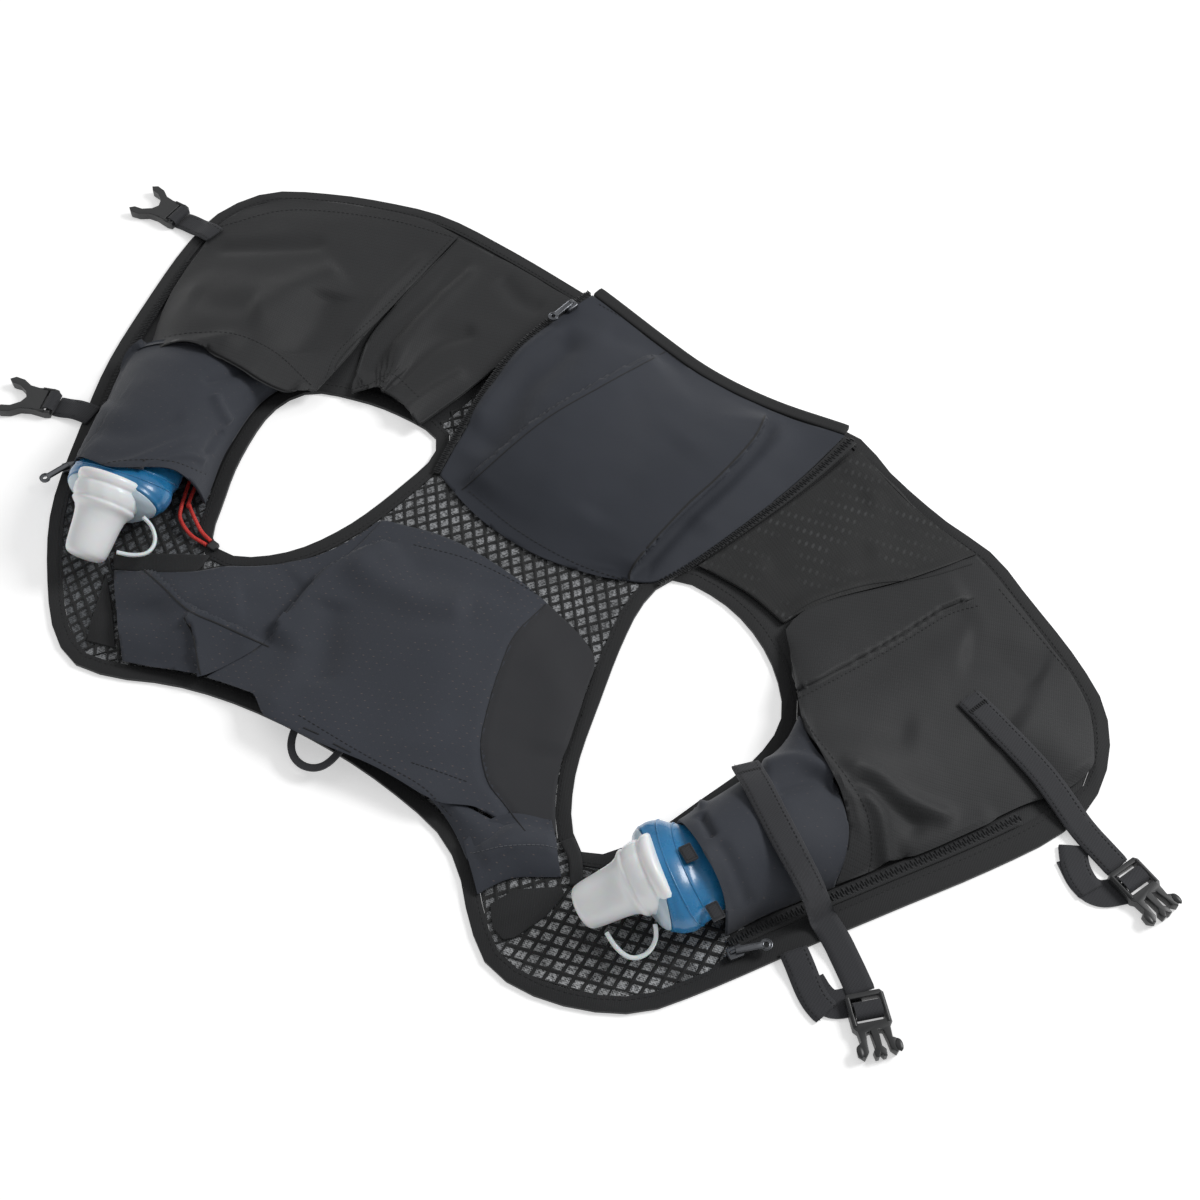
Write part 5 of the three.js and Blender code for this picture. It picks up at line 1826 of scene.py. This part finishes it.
@dataclass
class SmallParts:
    """Tabs of the sleeves, the hang loop and the end fitting of the lace."""

    tabs: Sequence[tuple[str, float]] = (
        ("left_sleeve_tab", 0.82), ("right_sleeve_tab", 0.0), ("right_sleeve_side_tab", 0.0),
    )
    sewn_at: tuple[float, float, float] = (0.78, 0.78, 1.0)
    pitch: float = 1.6
    stitch_size: Pair = (1.1, 0.35)

    def build(self, shop: Workshop) -> None:
        """Makes the parts.

        Args:
            shop: The workshop that finishes the pieces.
        """
        long, wide = (size * MM for size in self.stitch_size)
        for node, turn in self.tabs:
            tab = bevelled_copy(node, node + "_tape", 0.5, 3)
            rim = top_rims(node)[0]
            middle = rim.mean(axis=0)
            cos, sin = math.cos(turn), math.sin(turn)
            spin = np.array(((cos, sin, 0), (-sin, cos, 0), (0, 0, 1)))
            put_points(tab, middle + (points_of(tab)[0] - middle) @ spin)
            shop.finish(tab, WEBBING, [node])
            line = resampled(np.vstack([rim, rim[:1]]), self.pitch * MM)
            line = middle + (line - middle) @ spin * self.sewn_at + (0, 0, 0.1 * MM)
            meshes = [stitch(p, w, long, wide) for p, w in zip(line, np.gradient(line, axis=0))]
            shop.finish(make_piece(node + "_stitches", joined(meshes)), THREAD_AND_SEAM_SHADE)
        shop.finish(bevelled_copy("cord_fitting", "cord_fitting_plastic", 1.0, 3), PLASTIC, ["cord_fitting"])
        shop.finish(fine_copy("hang_loop", "hang_loop_webbing", 3, 0.8), WEBBING, ["hang_loop"])


# Places read off the photograph, in pixels

RIDGE, VALLEY, PLEAT = FoldKind.RIDGE, FoldKind.VALLEY, FoldKind.PLEAT

BACK_LEFT_PLEAT = ((462, 490), (539, 424), (602, 386), (665, 352))
BACK_RIGHT_PLEAT = ((629, 584), (631, 570), (648, 547), (688, 504), (720, 475), (754, 438), (767, 411))
BACK_MOUTH_FOLD = ((473, 458), (502, 421), (519, 386), (551, 358), (582, 329))
YOKE_SEAM = (
    (546, 604), (515, 635), (499, 672), (488, 708), (481, 745), (488, 781), (505, 805), (525, 831),
)
LEFT_MOUTH = ((106, 380), (128, 350), (150, 338), (210, 336), (262, 352), (300, 374), (330, 396))
SIDE_MOUTH = ((330, 390), (362, 374), (395, 372), (425, 394), (452, 422))
LEFT_SLEEVE_HEM = ((10, 455), (62, 444), (84, 438), (110, 446), (140, 456), (180, 470))
YOKE_MOUTH = ((245, 700), (300, 722), (360, 752), (420, 788), (455, 825))
YOKE_LEFT_EDGE = ((269, 647), (284, 625), (303, 605), (335, 572), (400, 541))
YOKE_V = ((269, 647), (221, 625), (188, 610), (162, 586), (140, 566))
YOKE_TUCK = ((184, 618), (193, 636), (199, 669), (205, 686))
POCKET_TUCK = ((788, 694), (816, 680), (874, 649), (905, 631), (945, 607), (974, 598))
LEFT_POCKET_SEAM = ((458, 240), (395, 305), (345, 352), (331, 380))

# The plain side of the yoke, and where the lace leaves the left sleeve
YOKE_PLAIN_SIDE = (*YOKE_SEAM, (556, 840), (580, 790), (640, 640), (600, 600))
UPPER_LACE_HEM = (199, 478)
LOWER_LACE_HEM = (192, 474)

# Folds of the back pocket
BACK_MOUTH_ROLL = ((470, 430), (500, 385), (530, 350), (570, 322))
BACK_MIDDLE_SAG = ((690, 440), (640, 470), (585, 520))
BACK_RIGHT_RIPPLE = ((790, 425), (742, 478), (690, 535))
BACK_HEM_SAG = ((600, 330), (640, 345), (690, 372))

# Folds of the yoke pocket
YOKE_TOP_ROLL = ((350, 560), (372, 578), (420, 600), (475, 606))
YOKE_TOP_GROOVE = ((400, 560), (470, 580), (520, 600))
YOKE_LEFT_GROOVE = ((335, 600), (326, 635), (319, 685))
YOKE_LEFT_RIPPLE = ((300, 640), (290, 670), (275, 700))
YOKE_MIDDLE_RIPPLE = ((450, 620), (440, 690), (425, 760))
YOKE_RIGHT_RIPPLE = ((545, 640), (560, 690), (548, 760))

# Folds of the yoke's left end and right flap
END_GROOVE = ((235, 600), (265, 595), (300, 575))
END_SAG = ((150, 600), (160, 640), (158, 670))
FLAP_EDGE = ((576, 832), (530, 836), (462, 850))
FLAP_RIPPLE = ((480, 872), (520, 855), (560, 858))
FLAP_GROOVE = ((484, 858), (520, 842), (556, 840))

# Folds of the left side pocket
SIDE_LONG_GROOVE = ((350, 368), (414, 312), (473, 258))
SIDE_LONG_RIDGE = ((388, 357), (454, 285), (481, 263))
SIDE_MOUTH_ROLL = ((334, 387), (387, 368), (414, 360))
SIDE_INNER_GROOVE = ((400, 372), (440, 340), (480, 330))
SIDE_CORNER_RIDGE = ((420, 405), (440, 385), (470, 370))
SIDE_HEM_GROOVE = ((500, 275), (520, 300), (545, 310))
SIDE_MOUTH_CREASE = ((392, 380), (410, 390), (425, 405))

# Folds of the left front pocket
LEFT_MOUTH_ROLL = ((112, 368), (125, 341), (150, 329), (184, 323), (227, 321), (263, 326))
LEFT_MOUTH_GROOVE = ((130, 352), (155, 338), (190, 332), (240, 334))
LEFT_UPPER_GROOVE = ((208, 248), (277, 245), (332, 242))
LEFT_LONG_RIDGE = ((250, 312), (300, 287), (345, 268))
LEFT_SEAM_GROOVE = ((330, 290), (318, 320), (304, 345))
LEFT_CORNER_CREASE = ((318, 366), (326, 374), (331, 384))
LEFT_MIDDLE_GROOVE = ((190, 290), (225, 298), (262, 298))
LEFT_SEAM_RIDGE = ((345, 345), (380, 300), (430, 250))

# Folds of the right front pocket
RIGHT_UPPER_RIDGE = ((836, 761), (874, 774), (905, 799), (959, 823))
RIGHT_MOUTH_RIDGE = ((854, 788), (876, 808), (883, 839), (889, 877))
RIGHT_UPPER_GROOVE = ((850, 772), (882, 792), (925, 835))
RIGHT_MIDDLE_GROOVE = ((800, 730), (860, 725), (920, 735))
RIGHT_MOUTH_ROLL = ((780, 700), (806, 735), (835, 772), (855, 805), (862, 845))
RIGHT_EDGE_RIDGE = ((1010, 720), (1050, 745), (1085, 780))
RIGHT_EDGE_GROOVE = ((960, 650), (1000, 660), (1045, 680))
RIGHT_LOWER_RIDGE = ((900, 860), (950, 835), (1000, 815))

# Folds of the right side panel
PANEL_MOUTH_ROLL = ((780, 611), (816, 598), (869, 582), (923, 576), (976, 562))
PANEL_RIDGE = ((860, 500), (900, 495), (950, 520))
PANEL_GROOVE = ((760, 570), (820, 555), (880, 550))
PANEL_SMALL_RIDGE = ((840, 470), (880, 478), (915, 500))

# Folds of the left sleeve
LEFT_SLEEVE_TOP = ((90, 392), (120, 352), (150, 336), (215, 334), (275, 362))
LEFT_SLEEVE_RIDGE = ((85, 438), (140, 446), (200, 436))
LEFT_SLEEVE_HEM_ROLL = ((80, 462), (120, 455), (190, 456), (214, 470))
LEFT_SLEEVE_PINCH = ((214, 392), (222, 412), (232, 425))
LEFT_SLEEVE_PINCH_GROOVE = ((226, 430), (214, 440), (206, 455))
LEFT_SLEEVE_UPPER_GROOVE = ((200, 380), (235, 372), (262, 362))
LEFT_SLEEVE_MIDDLE_GROOVE = ((100, 412), (150, 418), (190, 412))

# Folds of the right sleeve
RIGHT_SLEEVE_HEM_ROLL = ((664, 826), (680, 812), (694, 804))
RIGHT_SLEEVE_PINCH_GROOVE = ((699, 812), (706, 824), (714, 838))
RIGHT_SLEEVE_PINCH = ((690, 808), (697, 802), (706, 806))
RIGHT_SLEEVE_UPPER_RIDGE = ((758, 768), (800, 760), (842, 778))
RIGHT_SLEEVE_UPPER_GROOVE = ((770, 790), (815, 778), (845, 796))
RIGHT_SLEEVE_LONG_RIDGE = ((700, 845), (712, 880), (728, 925))
RIGHT_SLEEVE_LONG_GROOVE = ((715, 836), (735, 870), (752, 915))

# Rows of stitches
BACK_LOWER_ROW = ((470, 492), (520, 532), (580, 565), (640, 584))
BACK_HEM_ROW = ((600, 305), (680, 350), (760, 398), (842, 428))
YOKE_BAR_LEFT = ((304, 728), (311, 731), (318, 734))
YOKE_BAR_RIGHT = ((334, 744), (342, 748), (350, 752))
YOKE_SHORT_ROW = ((413, 763), (440, 772), (465, 781))
YOKE_TOP_ROW = ((415, 545), (470, 560), (530, 590), (580, 625), (598, 645))
YOKE_MOUTH_ROW = ((300, 716), (360, 752), (420, 785), (450, 815))
FLAP_ROW = ((474, 853), (505, 846), (540, 845), (556, 848))
LEFT_MOUTH_ROW = ((150, 340), (190, 333), (235, 334), (275, 352), (310, 384))
LEFT_HEM_ROW = ((222, 226), (290, 210), (380, 218), (450, 236))
SIDE_MOUTH_ROW = ((342, 392), (370, 384), (392, 374), (418, 396))
RIGHT_MOUTH_ROW = ((790, 700), (815, 735), (845, 775), (866, 810), (872, 850), (868, 876))
RIGHT_EDGE_ROW = ((1000, 590), (1050, 650), (1095, 705), (1102, 740), (1090, 770))
PANEL_SEAM = ((786, 618), (816, 600), (869, 584), (923, 578), (972, 564))
LEFT_SLEEVE_ROW = ((82, 470), (120, 461), (170, 461), (210, 476))
RIGHT_SLEEVE_ROW = ((672, 826), (690, 850), (708, 890), (722, 930))

# Ends of the right straps' tails
WAIST_TAIL_CURVE = ((1070, 858), (1083, 882), (1100, 893), (1124, 890))
CHEST_TAIL_CURVE = ((810, 980), (819, 994), (830, 1003), (844, 1003), (860, 997))

CORDS = (
    Cord("elastic_cord_upper", (
        (-0.1872, -0.1104, 0.0070), (-0.1776, -0.1152, 0.0075),
        (-0.1664, -0.1196, 0.0055), (-0.1568, -0.1208, 0.0042),
    ), UPPER_LACE_HEM),
    Cord("elastic_cord_lower", (
        (-0.1896, -0.1136, 0.0070), (-0.1824, -0.1216, 0.0070),
        (-0.1696, -0.1256, 0.0055), (-0.1568, -0.1244, 0.0042),
    ), LOWER_LACE_HEM),
)

CLOTHS = (
    Cloth(
        "back_pocket", NAVY,
        folds=(
            Fold(BACK_LEFT_PLEAT[::-1], 60, 5.5, PLEAT, 2.0, 0.1),
            Fold(BACK_RIGHT_PLEAT, 44, 6.5, PLEAT, 4.0, 0.1),
            Fold(beside(BACK_RIGHT_PLEAT, 9, 6), 7, 3.0, VALLEY, 0.0, 0.1),
            Fold(BACK_MOUTH_FOLD, 17, 6.0, VALLEY),
            Fold(BACK_MOUTH_ROLL, 7, 3.2),
            Fold(BACK_MIDDLE_SAG, 26, 1.8, VALLEY),
            Fold(BACK_RIGHT_RIPPLE, 14, 2.4),
            Fold(BACK_HEM_SAG, 12, 1.4, VALLEY),
        ),
        seed=2.0,
    ),
    Cloth(
        "yoke_pocket", DOTTED,
        folds=(
            Fold(YOKE_LEFT_EDGE[::-1], 34, 7.0, PLEAT, 1.5, 0.12),
            Fold(YOKE_TOP_ROLL, 17, 4.6),
            Fold(YOKE_MOUTH, 34, 1.5, RIDGE, 11.0, 0.12),
            Fold(YOKE_TOP_GROOVE, 12, 1.6, VALLEY),
            Fold(YOKE_LEFT_GROOVE, 14, 3.0, VALLEY),
            Fold(YOKE_LEFT_RIPPLE, 10, 1.4),
            Fold(YOKE_MIDDLE_RIPPLE, 34, 2.4),
            Fold(YOKE_SEAM, 3.2, 0.9, VALLEY, 0.0, 0.05),
            Fold(YOKE_RIGHT_RIPPLE, 20, 1.8),
        ),
        patches=(Patch(YOKE_PLAIN_SIDE, CHARCOAL),),
        seed=3.0,
    ),
    Cloth(
        "yoke_left_end", DOTTED,
        folds=(
            Fold(YOKE_V, 30, 5.0, PLEAT, 2.5),
            Fold(YOKE_TUCK, 22, 4.0, PLEAT, 2.0),
            Fold(YOKE_LEFT_EDGE, 24, -1.5, RIDGE, 9.0, 0.1),
            Fold(END_GROOVE, 16, 2.0, VALLEY),
            Fold(END_SAG, 12, 1.2, VALLEY),
        ),
        seed=4.0,
    ),
    Cloth("yoke_right_end", DOTTED, seed=5.0),
    Cloth(
        "yoke_right_flap", DOTTED,
        folds=(
            Fold(FLAP_EDGE, 24, 1.5, RIDGE, 16.0, 0.04),
            Fold(FLAP_RIPPLE, 5, 2.0),
            Fold(FLAP_GROOVE, 6, 1.2, VALLEY),
        ),
        spare=1.35,
        seed=6.0,
    ),
    Cloth(
        "left_side_pocket", POWER_MESH,
        folds=(
            Fold(SIDE_MOUTH, 30, -1.0, RIDGE, 16.0, 0.05),
            Fold(SIDE_LONG_GROOVE, 9, 4.4, VALLEY),
            Fold(SIDE_LONG_RIDGE, 11, 3.6),
            Fold(SIDE_MOUTH_ROLL, 6, 4.0),
            Fold(SIDE_INNER_GROOVE, 10, 3.6, VALLEY),
            Fold(SIDE_CORNER_RIDGE, 8, 3.0),
            Fold(SIDE_HEM_GROOVE, 9, 2.4, VALLEY),
            Fold(SIDE_MOUTH_CREASE, 5, 3.0),
        ),
        rests_on=("left_front_panel",), seed=7.0,
    ),
    Cloth(
        "left_front_pocket", POWER_MESH,
        folds=(
            Fold(LEFT_MOUTH, 40, -1.0, RIDGE, 24.0, 0.06),
            Fold(LEFT_MOUTH_ROLL, 6, 3.6),
            Fold(LEFT_MOUTH_GROOVE, 4, 2.0, VALLEY),
            Fold(LEFT_UPPER_GROOVE, 9, 3.0, VALLEY),
            Fold(LEFT_LONG_RIDGE, 20, 4.4),
            Fold(LEFT_SEAM_GROOVE, 20, 5.4, VALLEY),
            Fold(LEFT_CORNER_CREASE, 4, 3.6),
            Fold(LEFT_MIDDLE_GROOVE, 12, 2.6, VALLEY),
            Fold(LEFT_SEAM_RIDGE, 8, 2.4),
        ),
        rests_on=("left_front_panel",), seed=8.0,
    ),
    Cloth(
        "right_front_pocket", POWER_MESH,
        folds=(
            Fold(POCKET_TUCK, 34, 3.6, PLEAT, 2.0, 0.08),
            Fold(beside(POCKET_TUCK, 8, 14), 18, 1.4, VALLEY, 0.0, 0.1),
            Fold(RIGHT_UPPER_RIDGE, 8, 4.4),
            Fold(RIGHT_MOUTH_RIDGE, 6, 4.2),
            Fold(RIGHT_UPPER_GROOVE, 9, 3.6, VALLEY),
            Fold(RIGHT_MIDDLE_GROOVE, 16, 3.0, VALLEY),
            Fold(RIGHT_MOUTH_ROLL, 4, 2.0),
            Fold(RIGHT_EDGE_RIDGE, 24, 4.2),
            Fold(RIGHT_EDGE_GROOVE, 20, 3.6, VALLEY),
            Fold(RIGHT_LOWER_RIDGE, 12, 2.4),
        ),
        rests_on=("right_front_panel",), seed=9.0,
    ),
    Cloth(
        "right_side_panel", SHEER_MESH,
        folds=(
            Fold(PANEL_MOUTH_ROLL, 7, 1.8),
            Fold(PANEL_RIDGE, 14, 1.4),
            Fold(PANEL_GROOVE, 12, 1.2, VALLEY),
            Fold(PANEL_SMALL_RIDGE, 8, 1.0),
        ),
        rests_on=("right_front_panel",), seed=10.0,
    ),
    Cloth(
        "left_flask_sleeve", SLEEVE_CLOTH,
        folds=(
            Fold(LEFT_SLEEVE_TOP, 26, 4.0, VALLEY, 0.0, 0.05),
            Fold(LEFT_SLEEVE_HEM, 58, 0.3, RIDGE, 21.0, 0.42),
            Fold(LEFT_SLEEVE_RIDGE, 6, 2.2),
            Fold(LEFT_SLEEVE_HEM_ROLL, 3.5, 1.8),
            Fold(LEFT_SLEEVE_PINCH, 5, 3.0),
            Fold(LEFT_SLEEVE_PINCH_GROOVE, 5, 2.4, VALLEY),
            Fold(LEFT_SLEEVE_UPPER_GROOVE, 7, 2.4, VALLEY),
            Fold(LEFT_SLEEVE_MIDDLE_GROOVE, 9, 1.8, VALLEY),
        ),
        rests_on=("left_front_panel",), seed=11.0,
    ),
    Cloth(
        "right_flask_sleeve", SLEEVE_CLOTH,
        folds=(
            Fold(RIGHT_SLEEVE_HEM_ROLL, 4, 3.0),
            Fold(RIGHT_SLEEVE_PINCH_GROOVE, 4, 3.6, VALLEY),
            Fold(RIGHT_SLEEVE_PINCH, 4, 3.2),
            Fold(RIGHT_SLEEVE_UPPER_RIDGE, 7, 3.4),
            Fold(RIGHT_SLEEVE_UPPER_GROOVE, 7, 2.8, VALLEY),
            Fold(RIGHT_SLEEVE_LONG_RIDGE, 5, 2.0),
            Fold(RIGHT_SLEEVE_LONG_GROOVE, 6, 1.6, VALLEY),
        ),
        rests_on=("right_front_panel",), seed=12.0,
    ),
)

# The seam lines here are dark strands of painted shade in the seams' grooves and beside the pleats.
SEWING = (
    Sewing(
        "back_pocket_stitches_and_seam_shade",
        (
            # The dark strands along the two pleats stand where there is only the pleats' shadow: painted
            # shadow.
            SeamShadeLine(BACK_RIGHT_PLEAT, 1.5), SeamShadeLine(BACK_LEFT_PLEAT, 0.8),
            StitchRow(BACK_LOWER_ROW),
            StitchRow(BACK_HEM_ROW),
        ),
    ),
    Sewing(
        "yoke_stitches_and_seam_shade",
        (
            SeamShadeLine(YOKE_SEAM), SeamShadeLine(YOKE_V, 1.0), SeamShadeLine(YOKE_TUCK, 1.0),
            StitchRow(YOKE_BAR_LEFT, 1.4, 1.3, 0.9),
            StitchRow(YOKE_BAR_RIGHT, 1.4, 1.3, 0.9),
            StitchRow(YOKE_SHORT_ROW, 3.0),
            StitchRow(YOKE_TOP_ROW),
            StitchRow(YOKE_MOUTH_ROW),
        ),
    ),
    Sewing("yoke_flap_hem", (StitchRow(FLAP_ROW, 2.6),), PALE_THREAD),
    Sewing(
        "left_pocket_stitches_and_seam_shade",
        (
            SeamShadeLine(LEFT_POCKET_SEAM), StitchRow(beside(LEFT_POCKET_SEAM, -5, -3)),
            StitchRow(LEFT_MOUTH_ROW),
            StitchRow(LEFT_HEM_ROW),
            StitchRow(SIDE_MOUTH_ROW),
        ),
    ),
    Sewing(
        "right_pocket_stitches_and_seam_shade",
        (
            SeamShadeLine(POCKET_TUCK[::-1], 1.0),
            StitchRow(beside(POCKET_TUCK, 3, 8), 3.0, 1.5, 0.8),
            StitchRow(RIGHT_MOUTH_ROW),
            StitchRow(RIGHT_EDGE_ROW),
            SeamShadeLine(PANEL_SEAM, 0.9),
        ),
    ),
    Sewing(
        "sleeve_seams",
        (
            StitchRow(LEFT_SLEEVE_ROW),
            StitchRow(RIGHT_SLEEVE_ROW),
        ),
    ),
)

ZIPS = (
    Zip("back_left_zip", "back_zip_slider", "back_zip_pull"), Zip("back_right_zip"),
    Zip("left_front_zip", "left_front_zip_slider", "left_front_zip_pull"),
    Zip("right_front_zip", "right_front_zip_slider", "right_front_zip_pull"),
)

STRAPS = (
    Webbing("left_waist_webbing"), Webbing("left_chest_webbing"),
    Webbing("right_waist_tail"), Webbing("right_chest_tail"),
    Webbing("right_waist_strap", ("right_front_pocket",), True),
    Webbing("right_chest_strap", ("right_flask_sleeve",), True),
)

BUCKLES = (
    Buckle("right_waist_buckle", "right_waist_strap", (-0.37, -0.09), ((0.38, 1.0),)),
    Buckle("right_chest_buckle", "right_chest_strap", (-0.37, -0.09), ((0.38, 1.0),)),
    Buckle("left_waist_buckle", "left_waist_webbing", (-0.56, -0.33), (), (-0.4, -0.2)),
    Buckle("left_chest_buckle", "left_chest_webbing", (-0.56, -0.33), (), (-0.4, -0.2)),
)

TAIL_ENDS = (
    TailEnd("right_waist_tail_end", WAIST_TAIL_CURVE),
    TailEnd("right_chest_tail_end", CHEST_TAIL_CURVE),
)

FLASKS = (Flask("left"), Flask("right"))


# The studio


@dataclass(frozen=True)
class Lamp:
    """A soft square light."""

    name: str
    place: tuple[float, float, float]
    size: float
    power: float


@dataclass
class Studio:
    """Plain pale floor and soft light."""

    floor_size: float = 14.0
    floor_colour: Colour = (0.9, 0.9, 0.9)
    glow: float = 0.42
    sky: float = 0.38
    lamps: Sequence[Lamp] = (
        Lamp("key_light", (1.0, 1.5, 1.5), 0.8, 32.0),
        Lamp("fill_light", (-1.5, 0.3, 1.8), 2.2, 6.0),
    )

    def build(self) -> None:
        """Makes the floor, the lights and the sky."""
        half = self.floor_size / 2
        corners = np.array([(-half, -half, 0), (half, -half, 0), (half, half, 0), (-half, half, 0)])
        floor = make_piece("floor", (corners, [[0, 1, 2, 3]]))
        floor.location.z = -0.4 * MM
        graph = Graph("floor")
        graph.feed("Base Color", self.floor_colour)
        graph.feed("Roughness", 0.9)
        graph.feed("Specular IOR Level", 0.1)
        graph.feed("Emission Color", (1.0, 1.0, 1.0))
        graph.feed("Emission Strength", self.glow)
        floor.data.materials.append(graph.material)
        for lamp in self.lamps:
            data = bpy.data.lights.new(lamp.name, "AREA")
            data.size = lamp.size
            data.energy = lamp.power
            made = link(bpy.data.objects.new(lamp.name, data))
            made.location = lamp.place
            made.rotation_euler = (-Vector(lamp.place)).to_track_quat("-Z", "Y").to_euler()
        world = bpy.data.worlds.new("studio")
        bpy.context.scene.world = world
        world.use_nodes = True
        background = world.node_tree.nodes["Background"]
        background.inputs["Color"].default_value = (1, 1, 1, 1)
        background.inputs["Strength"].default_value = self.sky
        bpy.context.scene.view_settings.view_transform = "Standard"


def main() -> None:
    """Builds the studio and every piece in order."""
    EYE.make_camera()
    shop = Workshop()
    for cord in CORDS:
        cord.build(shop)
    Studio().build()
    for part in (Base(), Bindings(), *CLOTHS):
        part.build(shop)
    shop.look_at_cloths()
    for part in (*SEWING, *ZIPS, *STRAPS, *BUCKLES, *TAIL_ENDS, *FLASKS, SmallParts()):
        part.build(shop)


if __name__ == "__main__":
    main()
